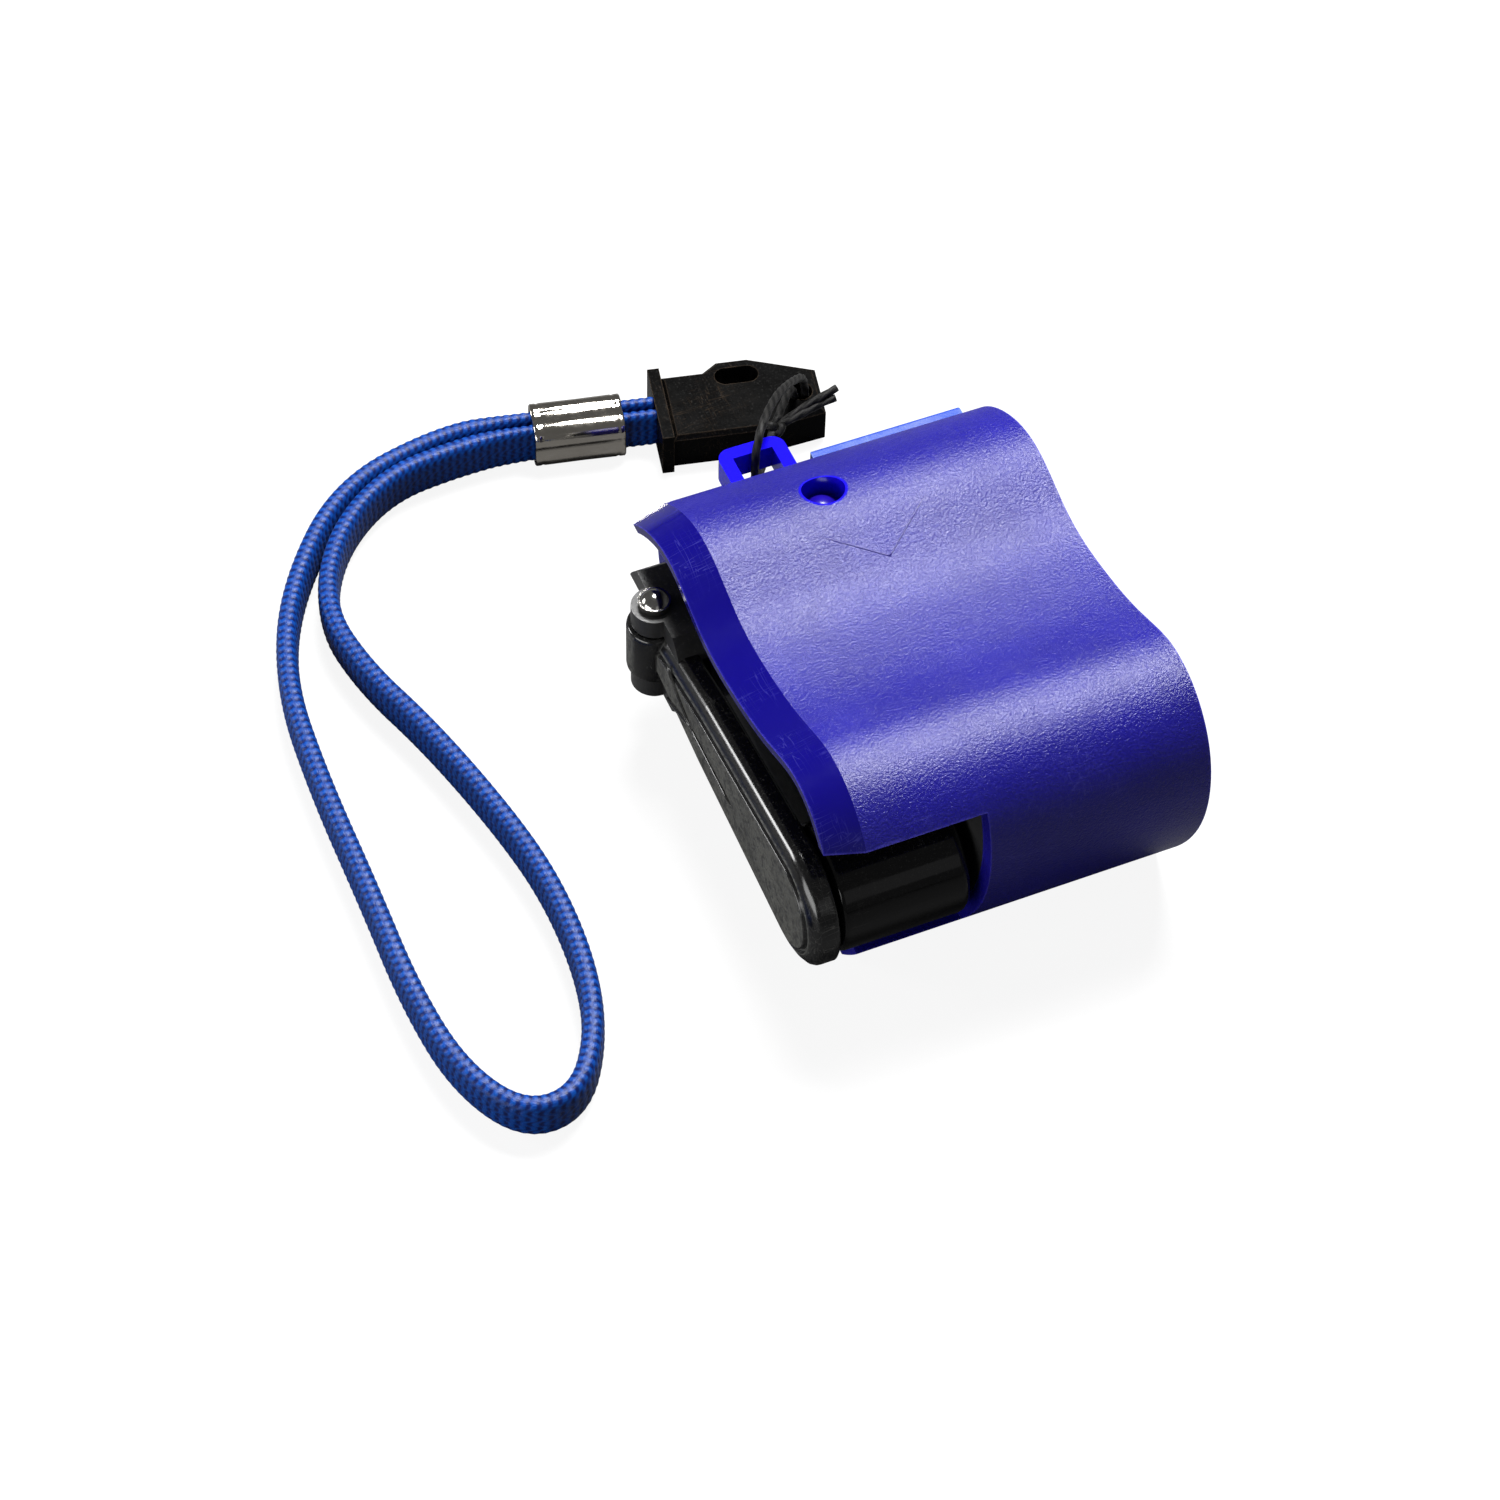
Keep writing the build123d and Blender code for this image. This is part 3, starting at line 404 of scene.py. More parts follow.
def hairlines(nodes, density, amount):
    return nodes.times(group(nodes, "scratch", density=density)["Mask"], amount)


def own_normal_x(nodes):
    """X of the normal in the piece's own frame, so that it stays with a piece that moves."""
    own = nodes.add("ShaderNodeTexCoord").outputs["Normal"]
    return nodes.add("ShaderNodeSeparateXYZ", {0: own}).outputs[0]


# ---------------------------------------------------------------- finishes

INDICATOR_PLACE = (-2.4, 16.6, 0.0)
INDICATOR_WALL = (2.75, 2.5)        # from its middle: frosted, polished
LUG_START = (30.45, 30.6)           # Y: frosted, polished
# RIM_START and RIM_LEAN mark the hood's rim bevel, which gets painted shade
RIM_START = (-16.8, -17.3)          # X: frosted, bevel of the hood
RIM_LEAN = (-0.06, -0.2)            # X of the normal there
ARM_FACE_LEAN = (-0.9, -0.985)      # X of the normal: polished bevel, grained face


def moulded(name, base, shade, rough=0.42, grain=0.35, depth=0.008, worn=None, wear=0.35,
            coat=0.0, specular=0.5, dust=0.12):
    """Injection-moulded plastic with grain, edge wear, hairlines and dust."""
    material, nodes, shader, skin = handled(name, base, shade, patch=9.0, amount=0.45, rough=rough,
                                            spread=0.12)
    worn = worn or tuple(min(1.0, value * 1.8 + 0.03) for value in base)
    texture = group(nodes, "grain", size=grain, depth=depth)
    rubbed = rubbed_edges(nodes, 0.25, 0.7, wear)
    mark = nodes.maths("MAXIMUM", rubbed, hairlines(nodes, 0.5, wear * 0.5))
    speckled = nodes.blend(nodes.times(texture["Speckle"], 0.22), skin["Color"], shade)
    tinted = nodes.blend(mark, speckled, worn)
    dusty = nodes.blend(group(nodes, "dust", amount=dust)["Mask"], tinted, (0.55, 0.54, 0.52))
    polished = nodes.maths("SUBTRACT", skin["Roughness"], nodes.times(rubbed, 0.12), clamp=True)
    feed(nodes, shader, dusty, polished, texture["Height"], Specular_IOR_Level=specular,
         Coat_Weight=coat, Coat_Roughness=0.12)
    return material


def metal(name, base, shade, rough=0.28, stretch=(6.0, 6.0, 0.4), depth=0.003, tarnish=0.35):
    """Bare or plated metal with drawing lines, tarnish and bright edges."""
    material, nodes, shader, skin = handled(name, base, shade, patch=3.5, amount=tarnish,
                                            rough=rough, spread=0.14)
    lines = group(nodes, "drawn", stretch=stretch, depth=depth)
    streaked = nodes.blend(nodes.times(lines["Streak"], 0.18), skin["Color"], shade)
    bright = tuple(min(1.0, value * 1.25 + 0.05) for value in base)
    edged = nodes.blend(rubbed_edges(nodes, 0.15, 0.4, 0.3), streaked, bright)
    feed(nodes, shader, edged, skin["Roughness"], lines["Height"], Metallic=1.0)
    return material


def frosted_blue(look):
    """Frosted blue shell, clear and polished at the lug and down the indicator's hole, with painted
    shade on the hood's rim bevel.
    """
    material, nodes, shader, skin = handled("Frosted blue shell", look.shell, look.shell_tone_and_rim_shade,
                                            patch=14.0, amount=0.5, rough=0.34, spread=0.05)
    x, y, _ = nodes.add("ShaderNodeSeparateXYZ", {0: nodes.place()}).outputs[:3]
    flat = nodes.add("ShaderNodeCombineXYZ", {0: x, 1: y}).outputs[0]
    hole = nodes.add("ShaderNodeVectorMath", {0: flat, 1: INDICATOR_PLACE},
                     operation="DISTANCE").outputs["Value"]
    clear = nodes.maths("MAXIMUM", nodes.spread(y, *LUG_START), nodes.spread(hole, *INDICATOR_WALL))
    rim = nodes.times(nodes.spread(own_normal_x(nodes), *RIM_LEAN), nodes.spread(x, *RIM_START))
    frost = group(nodes, "grain", size=look.frost_size / MM, depth=look.frost_depth / MM)
    # Painted glint: pale specks on the frost grains' tips stand in for the frosting's sparkle
    glint = nodes.maths("POWER", frost["Speckle"], 2.5)
    grainy = nodes.blend(nodes.times(glint, 0.035), skin["Color"], look.glint)
    # Painted shade: the hood's rim bevel is blended almost fully into the darker shell blue
    deep = nodes.blend(nodes.times(rim, 0.97), grainy, look.shell_tone_and_rim_shade)
    edged = nodes.blend(rubbed_edges(nodes, 0.35, 0.6, 0.3), deep, paint(96, 92, 220))
    marked = nodes.blend(hairlines(nodes, 0.35, 0.10), edged, paint(120, 118, 225))
    polished = nodes.maths("ADD", nodes.times(clear, 0.3), nodes.times(rim, 0.2))
    rough = nodes.maths("SUBTRACT", skin["Roughness"], polished, clamp=True)
    frosted = nodes.maths("SUBTRACT", 1.0, nodes.maths("MAXIMUM", clear, rim))
    feed(nodes, shader, nodes.blend(clear, marked, look.clear), rough,
         nodes.times(frost["Height"], frosted), IOR=1.5, Subsurface_Weight=0.12,
         Subsurface_Radius=(0.2, 0.1, 1.0), Subsurface_Scale=0.0015)
    return material


def arm_plastic(look):
    """Grained outer face of the crank arm, polished on its bevel and rim."""
    material, nodes, shader, skin = handled("Crank arm plastic", look.arm, paint(56, 56, 53),
                                            patch=6.0, amount=0.6, rough=0.6, spread=0.06)
    face = nodes.spread(own_normal_x(nodes), *ARM_FACE_LEAN)
    texture = group(nodes, "grain", size=look.grain_size / MM, depth=0.1)
    # Painted shade: darker grey put in the low pits of the arm's grain
    pits = nodes.spread(texture["Speckle"], 0.6, 0.2)
    speckled = nodes.blend(nodes.times(pits, 0.85), skin["Color"], paint(30, 30, 29))
    tone = nodes.blend(face, look.gloss, speckled)
    mark = nodes.maths("MAXIMUM", rubbed_edges(nodes, 0.4, 0.6, 0.3), hairlines(nodes, 0.5, 0.22))
    marked = nodes.blend(mark, tone, paint(132, 132, 128))
    dusty = nodes.blend(group(nodes, "dust", amount=0.15)["Mask"], marked, (0.4, 0.4, 0.38))
    polish = nodes.times(nodes.maths("SUBTRACT", 1.0, face), 0.4)
    rough = nodes.maths("SUBTRACT", skin["Roughness"], polish, clamp=True)
    feed(nodes, shader, dusty, rough, nodes.times(texture["Height"], face), Specular_IOR_Level=0.6)
    return material


def winding_copper(look):
    """Enamelled wire: turns side by side, with a few crossing ones."""
    material, nodes, shader, skin = handled("Enamelled winding", look.copper, paint(118, 48, 20),
                                            patch=2.0, amount=0.5, rough=0.3, spread=0.1)
    turns = nodes.add("ShaderNodeTexWave", {"Vector": nodes.place(), "Scale": 2.2, "Distortion": 1.6,
                                            "Detail": 2.0}, bands_direction="X").outputs["Fac"]
    # Painted shade: darker copper in the grooves between the turns
    feed(nodes, shader, nodes.blend(turns, paint(88, 34, 14), skin["Color"]), skin["Roughness"],
         nodes.times(turns, 0.08 * MM), Metallic=0.85)
    return material


def board_mask(look):
    """Green solder mask over copper tracks and rows of tinned holes."""
    material, nodes, shader, skin = handled("Circuit board", look.board, paint(14, 62, 34),
                                            patch=4.0, amount=0.4, rough=0.3, spread=0.1)
    place = nodes.place()
    tracks = nodes.add("ShaderNodeTexBrick", {"Vector": place, "Scale": 0.55, "Mortar Size": 0.06,
                                              "Brick Width": 1.7, "Row Height": 0.9},
                       offset=0.37).outputs["Fac"]
    spots = nodes.add("ShaderNodeTexVoronoi", {"Vector": place, "Scale": 0.45}).outputs["Distance"]
    tinned = nodes.spread(spots, 0.2, 0.16)
    traced = nodes.blend(nodes.times(tracks, 0.6), skin["Color"], paint(58, 140, 74))
    raised = nodes.maths("MAXIMUM", nodes.times(tracks, 0.4), tinned)
    feed(nodes, shader, nodes.blend(tinned, traced, paint(198, 196, 190)), skin["Roughness"],
         nodes.times(raised, 0.04 * MM))
    nodes.put(shader.inputs["Metallic"], tinned)
    return material


def woven(name, thread, gap, rough, fibre, pale=(0.01, 0.17, 0.5)):
    """Threads of a woven or twisted cord, with a painted highlight on their tops and painted shade
    between them.
    """
    material, nodes, shader, skin = handled(name, thread, gap, patch=5.0, amount=0.3, rough=rough,
                                            spread=0.1)
    weave = group(nodes, "weave", thread=thread, gap=gap, pale=pale, fibre_depth=fibre)
    feed(nodes, shader, weave["Color"], skin["Roughness"], weave["Height"], Sheen_Weight=0.02,
         Sheen_Roughness=0.4, Specular_IOR_Level=0.2)
    return material


def clear_lens(base):
    """Blue tinted indicator with a faint milky unevenness."""
    material, nodes, shader, skin = handled("Indicator lens", base, paint(12, 0, 96), patch=2.0,
                                            amount=0.4, rough=0.25, spread=0.06)
    feed(nodes, shader, skin["Color"], skin["Roughness"], Transmission_Weight=0.3, IOR=1.5)
    return material


def dress(material, *names):
    """The material on every slot of these CAD nodes."""
    for name in names:
        node = frame["nodes"][name]
        if not node.material_slots:
            node.data.materials.append(material)
        for slot in node.material_slots:
            slot.material = material


# ---------------------------------------------------------------- meshes and cords


def new_object(name, data, body):
    thing = bpy.data.objects.new(name, data)
    bpy.context.scene.collection.objects.link(thing)
    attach(thing, body)
    return thing


def mesh_object(name, mesh_data, material, body, smooth=True):
    mesh = bpy.data.meshes.new(name)
    mesh_data.to_mesh(mesh)
    mesh_data.free()
    mesh.materials.append(material)
    for face in mesh.polygons:
        face.use_smooth = smooth
    return new_object(name, mesh, body)


def ways_round(count):
    """Angles evenly round a circle, each with its unit vector."""
    angles = [math.tau * index / count for index in range(count)]
    return [(angle, Vector((math.cos(angle), math.sin(angle)))) for angle in angles]


def squared(value, power):
    """A cosine or sine drawn out towards the corners of a square."""
    return math.copysign(abs(value) ** power, value)


def bridge(mesh, first, second):
    """Faces from one closed ring of corners to the next."""
    for index in range(len(first)):
        after = (index + 1) % len(first)
        mesh.faces.new((first[index], first[after], second[after], second[index]))


def close_rings(mesh, rings):
    """Faces from each ring to the next, and one over each end."""
    for first, second in zip(rings, rings[1:]):
        bridge(mesh, first, second)
    mesh.faces.new(rings[0][::-1])
    mesh.faces.new(rings[-1])
    bmesh.ops.recalc_face_normals(mesh, faces=mesh.faces)


def ringed(steps, around, place):
    """A closed solid of rings. place(step, way) gives a corner in millimetres."""
    solid = bmesh.new()
    rings = [[solid.verts.new(place(step, way) * MM) for _, way in ways_round(around)]
             for step in steps]
    close_rings(solid, rings)
    return solid


def route_line(points, closed=False):
    """Points along the smooth NURBS line whose control points are given, in metres."""
    curve = bpy.data.curves.new("route", "CURVE")
    curve.dimensions = "3D"
    curve.resolution_u = 24
    spline = curve.splines.new("NURBS")
    spline.points.add(len(points) - 1)
    for place, point in zip(spline.points, points):
        place.co = (*(value * MM for value in point), 1.0)
    spline.order_u = 3
    if closed:
        spline.use_cyclic_u = True
    else:
        spline.use_endpoint_u = True
    holder = bpy.data.objects.new("route", curve)
    bpy.context.scene.collection.objects.link(holder)
    bpy.context.view_layer.update()
    line = bpy.data.meshes.new_from_object(holder)
    found = [vertex.co.copy() for vertex in line.vertices]
    bpy.data.objects.remove(holder)
    bpy.data.curves.remove(curve)
    bpy.data.meshes.remove(line)
    return found


def even_steps(line, step):
    """The same line with its points a step apart."""
    marks = [0.0]
    for first, second in zip(line, line[1:]):
        marks.append(marks[-1] + (second - first).length)
    count = max(2, round(marks[-1] / step))
    even, at = [], 0
    for index in range(count + 1):
        wanted = marks[-1] * index / count
        while at < len(marks) - 2 and marks[at + 1] < wanted:
            at += 1
        span = max(marks[at + 1] - marks[at], 1e-12)
        even.append(line[at].lerp(line[at + 1], (wanted - marks[at]) / span))
    return even, marks[-1]


MAP_ROUND = 10               # the fibre map's width round a cord


def swept(line, outline, relief, upright=None, swell=None):
    """A tube along line. outline lists its corners across the line, each with its outward way
    and its place round it. relief(along, turn) says how far a thread stands out there and how
    raised it looks, and swell(along) how much thicker the tube is."""
    tube = bmesh.new()
    raised = tube.verts.layers.float.new("raised")
    weave_map = tube.loops.layers.uv.new("weave")
    rings, along = [], 0.0
    across = None
    for index, spot in enumerate(line):
        ahead = line[min(index + 1, len(line) - 1)] - line[max(index - 1, 0)]
        ahead.normalize()
        if upright is not None:
            across = upright
        elif across is None:
            across = ahead.orthogonal().normalized()
        across = (across - ahead * across.dot(ahead)).normalized()
        beside = ahead.cross(across)
        if index:
            along += (spot - line[index - 1]).length
        ring = []
        for corner, outward, turn in outline:
            stand, mark = relief(along, turn)
            thick = swell(along) if swell else 1.0
            flat = Vector((corner.x * thick, corner.y)) + outward * stand
            vertex = tube.verts.new(spot + beside * flat.x + across * flat.y)
            vertex[raised] = mark
            ring.append(vertex)
        rings.append((ring, along))
    around = len(outline)
    for (first, start), (second, stop) in zip(rings, rings[1:]):
        for side in range(around):
            after = (side + 1) % around
            face = tube.faces.new((first[side], first[after], second[after], second[side]))
            marks = ((start, side), (start, side + 1), (stop, side + 1), (stop, side))
            for loop, (place, turn) in zip(face.loops, marks):
                loop[weave_map].uv = (place / MM, turn / around * MAP_ROUND)
    for ring, way in ((rings[0][0], -1), (rings[-1][0], 1)):
        tube.faces.new(ring[::-1] if way < 0 else ring)
    bmesh.ops.recalc_face_normals(tube, faces=tube.faces)
    return tube


OUTLINE_STEPS = 720


def flat_outline(width, thick, count, square=3.2):
    """Corners round a flat strap's rounded section, evenly spaced along its outline."""
    fine = [Vector((squared(math.cos(angle), 2 / square) * thick / 2,
                    squared(math.sin(angle), 2 / square) * width / 2))
            for angle, _ in ways_round(OUTLINE_STEPS)]
    marks = [0.0]
    for first, second in zip(fine, fine[1:] + fine[:1]):
        marks.append(marks[-1] + (second - first).length)
    outline, at = [], 0
    for index in range(count):
        wanted = marks[-1] * index / count
        while marks[at + 1] < wanted:
            at += 1
        tangent = (fine[(at + 1) % OUTLINE_STEPS] - fine[at]).normalized()
        outline.append((fine[at], Vector((tangent.y, -tangent.x)), wanted))
    return outline, marks[-1]


RIBBON_SECTION = ((-1.0, -0.35), (-0.55, 0.55), (0.0, 1.0), (0.55, 0.55), (1.0, -0.35))


def ribbon(points, width, height, outward):
    """A low moulded line over a surface: a strip with a rounded crest, tapered at its ends."""
    strip = bmesh.new()
    rows = []
    last = len(points) - 1
    for index, spot in enumerate(points):
        ahead = (points[min(index + 1, last)] - points[max(index - 1, 0)]).normalized()
        out = outward[index] if isinstance(outward, list) else outward
        beside = ahead.cross(out).normalized()
        taper = min(1.0, 0.15 + 6.4 * min(index, last - index) / max(1, last))
        row = []
        for side, rise in RIBBON_SECTION:
            lift = height * (rise * taper if rise > 0 else rise)
            row.append(strip.verts.new(spot + beside * (side * width / 2 * taper) + out * lift))
        rows.append(row)
    close_rings(strip, rows)
    return strip


def joined(parts):
    """Several bmeshes as one."""
    whole = bmesh.new()
    for part in parts:
        mesh = bpy.data.meshes.new("part")
        part.to_mesh(mesh)
        part.free()
        whole.from_mesh(mesh)
        bpy.data.meshes.remove(mesh)
    return whole


# ---------------------------------------------------------------- routes, in millimetres

CLIP_TURN = math.radians(-12.6)
CLIP_NOSE = (13.1, 50.9)


def clip_point(along, across, height):
    """A place on the clip, measured from its nose."""
    return (CLIP_NOSE[0] + along * math.cos(CLIP_TURN) - across * math.sin(CLIP_TURN),
            CLIP_NOSE[1] + along * math.sin(CLIP_TURN) + across * math.cos(CLIP_TURN), height)


STRAP_HEIGHT = 3.2
STRAP_ROUTE = [
    clip_point(-19.8, 1.0, STRAP_HEIGHT), clip_point(-36.4, 1.0, STRAP_HEIGHT),
    *((x, y, STRAP_HEIGHT) for x, y in (
        (-30.9, 61.1), (-44.6, 57.7), (-54.8, 45.5), (-59.7, 33.2), (-60.8, 18.3), (-60.9, 2.3),
        (-61.3, -11.7), (-60.1, -23.2), (-55.9, -30.9), (-49.7, -30.8), (-45.1, -23.9),
        (-42.9, -15.0), (-42.5, -3.8), (-44.1, 7.1), (-47.3, 20.5), (-51.0, 31.2), (-52.2, 41.2),
        (-47.6, 50.7), (-39.2, 57.3), (-29.6, 58.3))),
    clip_point(-36.4, -1.0, STRAP_HEIGHT), clip_point(-19.8, -1.0, STRAP_HEIGHT),
]
NOSE_HOLE = clip_point(-2.4, 0.0, 0.0)
TIE_SIDE = 0.7
TIE_ROUTE = [
    (NOSE_HOLE[0] + TIE_SIDE, NOSE_HOLE[1], 1.0), (NOSE_HOLE[0] + TIE_SIDE, NOSE_HOLE[1], 7.6),
    (7.4, 46.6, 13.0), (2.2, 40.2, 18.6), (-3.0, 33.3, 20.4), (-3.0, 33.3, 11.0), (0.8, 39.4, 9.6),
    (5.4, 45.4, 10.0), (NOSE_HOLE[0] - TIE_SIDE, NOSE_HOLE[1], 7.6),
    (NOSE_HOLE[0] - TIE_SIDE, NOSE_HOLE[1], 1.0)]
KNOT_PLACE = Vector((4.0, 43.1, 10.1))
FERRULE_ENDS = (-34.4, -23.7)
PRESSED = 14.0               # strap held flat by the crimp and the clip
FERRULE_HALF = 3.2
FERRULE_MIDDLE = 3.2
FERRULE_SHEET = 0.45
FERRULE_AROUND = 120
FERRULE_SQUARE = 0.62
FERRULE_STEPS = [            # share of its length, and how far in from its outline
    (0.0, 0.42), (0.0, 0.12), (0.012, 0.0), (0.06, 0.0), (0.08, 0.07), (0.11, 0.0), (0.5, 0.03),
    (0.89, 0.0), (0.92, 0.07), (0.94, 0.0), (0.988, 0.0), (1.0, 0.12), (1.0, 0.42)]
FOLD_SPREAD = 0.016
FOLD_DEPTH = 0.10
STRAP_STEP = 0.2
STRAP_AROUND = 64
PUFF_LENGTH = 9.0            # over which the strap swells beyond the crimp
TIE_STEP = 0.12
TWIST_AROUND = 18
TWIST_DEPTH = 0.14           # of the cord's radius
TWIST_LAY = 2.2
KNOT_SIZE = 0.36
KNOT_RISE = 0.62
KNOT_CORD = 0.46             # its cord's radius, of the tie cord's diameter
KNOT_TAILS = ((7.6, 3.3, 3.1), (7.2, 1.0, 2.2))      # reach, side and rise
CHEVRON = [(-5.4, 10.6), (1.0, 6.4), (7.4, 11.6)]
CHEVRON_STEPS = 24
CHEVRON_RISE = 0.3           # of its width
PROBE_HEIGHT = 60.0
ARM_FACE_X = -23.6
RIB_ROUTES = (((2.4, 14.5), (5.4, 15.4), (9.2, 17.4)), ((2.4, 14.5), (5.4, 13.4), (9.2, 11.9)),
              ((3.0, 14.5), (-2.0, 14.4), (-9.0, 14.0)))
RIB_STEP = 0.5
CONTACT_PITCH = 2.3
CONTACT_STEP = 0.7
CONTACT_START = 0.6
CONTACT_SIZE = (1.0, 0.12)   # width and height
AXIS_Z = 14.5
PIN_X = -22.7
PIN_Y = 15.0
ARM_AROUND = 180
ARM_CIRCLES = ((13.0, 3.5), (0.0, 5.6), (-22.5, 7.6))       # Y and radius of its outline
ARM_STEPS = [                # X, and how far in from the outline
    (-20.2, 1.2), (-20.2, 0.5), (-20.26, 0.2), (-20.45, 0.0), (-20.7, 0.0), (-21.9, 0.0),
    (-22.2, 0.04), (-22.6, 0.26), (-23.0, 0.8), (-23.3, 1.45), (-23.36, 1.62), (-23.34, 1.74),
    (-23.1, 1.82), (-23.06, 1.9), (-23.06, 2.1), (-23.1, 2.16), (-23.5, 2.24), (-23.6, 2.36),
    (-23.6, 2.5), (-23.6, 3.0)]
KNUCKLE_RADIUS = 3.1
KNUCKLE_AROUND = 64
KNUCKLE_STEPS = [            # height from the middle, and how far in
    (-3.5, 0.9), (-3.5, 0.5), (-3.42, 0.2), (-3.2, 0.04), (-2.9, 0.0), (2.9, 0.0), (3.2, 0.04),
    (3.42, 0.2), (3.5, 0.5), (3.5, 0.9)]


# ---------------------------------------------------------------- stage, in metres

LAMPS = [                    # name, way from the aim, distance, size, share of its power
    ("Key", (0.26, 0.33, 0.91), 0.55, 0.17, 1.0), ("Rim", (-0.78, 0.56, 0.26), 0.50, 0.10, 0.4),
    ("Fill", (-0.93, -0.33, 0.16), 0.60, 0.30, 1.0),
    ("Front", (0.10, -0.90, 0.42), 0.80, 0.30, 0.05)]
LAMP_AIM = Vector((-0.01, 0.0, 0.015))
LAMP_ASPECT = 1.6
FLOOR_GLOW = 0.9             # what only the camera sees, so that the floor is white
FLOOR_HALF = 3.0
FLOOR_DROP = 0.00005

# ---------------------------------------------------------------- operators


class CHARGER_OT_stage(Operator):
    """Camera, floor, backdrop and lamps"""
    bl_idname = "charger.stage"
    bl_label = "Stage"

    def execute(self, context):
        look = context.scene.charger_stage
        scene = context.scene
        scene.view_settings.view_transform = "Standard"
        back = Vector((math.sin(look.azimuth) * math.cos(look.elevation),
                       -math.cos(look.azimuth) * math.cos(look.elevation),
                       math.sin(look.elevation)))
        data = bpy.data.cameras.new("Camera")
        data.sensor_width = SENSOR
        data.lens = look.focal_pixels * SENSOR / PHOTO_SIDE
        data.clip_start = 0.01
        camera = bpy.data.objects.new("Camera", data)
        scene.collection.objects.link(camera)
        camera.location = Vector(look.aim) + back * look.distance
        camera.rotation_mode = "QUATERNION"
        tilt = Quaternion((0.0, 0.0, 1.0), look.roll)
        camera.rotation_quaternion = (-back).to_track_quat("-Z", "Y") @ tilt
        scene.camera = camera
        self.floor(context, look)
        self.lamps(scene, look)
        self.sky(scene, look)
        return {"FINISHED"}

    def floor(self, context, look):
        material, nodes, shader = new_material("Pale floor")
        skin = group(nodes, "variation", color=look.floor, shade=tuple(v * 0.985 for v in look.floor),
                     patch_size=60.0, amount=0.5, roughness=0.75, roughness_spread=0.05)
        nodes.put(shader.inputs["Base Color"], skin["Color"])
        nodes.put(shader.inputs["Roughness"], skin["Roughness"])
        seen = nodes.add("ShaderNodeLightPath").outputs
        lit = nodes.maths("MAXIMUM", seen["Is Camera Ray"], seen["Is Transmission Ray"])
        shader.inputs["Emission Color"].default_value = (1.0, 1.0, 1.0, 1.0)
        nodes.put(shader.inputs["Emission Strength"], nodes.times(lit, FLOOR_GLOW))
        plane = bmesh.new()
        bmesh.ops.create_grid(plane, x_segments=8, y_segments=8, size=FLOOR_HALF)
        mesh = bpy.data.meshes.new("floor")
        plane.to_mesh(mesh)
        plane.free()
        mesh.materials.append(material)
        floor = bpy.data.objects.new("floor", mesh)
        floor.location.z = -FLOOR_DROP
        context.scene.collection.objects.link(floor)

    def lamps(self, scene, look):
        for name, way, distance, size, share in LAMPS:
            data = bpy.data.lights.new(name, "AREA")
            data.shape = "RECTANGLE"
            data.size = size * LAMP_ASPECT
            data.size_y = size
            data.energy = share * (look.key_power if name == "Key" else look.fill_power)
            lamp = bpy.data.objects.new(name, data)
            direction = Vector(way).normalized()
            lamp.location = LAMP_AIM + direction * distance
            lamp.rotation_mode = "QUATERNION"
            lamp.rotation_quaternion = (-direction).to_track_quat("-Z", "Y")
            scene.collection.objects.link(lamp)

    def sky(self, scene, look):
        world = bpy.data.worlds.new("Even light")
        world.use_nodes = True
        scene.world = world
        nodes = Nodes(world.node_tree)
        surface = next(n for n in world.node_tree.nodes if n.type == "BACKGROUND")
        seen = nodes.add("ShaderNodeLightPath").outputs
        direct = nodes.maths("MAXIMUM", seen["Is Camera Ray"], seen["Is Transmission Ray"])
        nodes.put(surface.inputs["Strength"], nodes.spread(direct, 0.0, 1.0, look.sky, 1.0))
        surface.inputs["Color"].default_value = (1.0, 1.0, 1.0, 1.0)


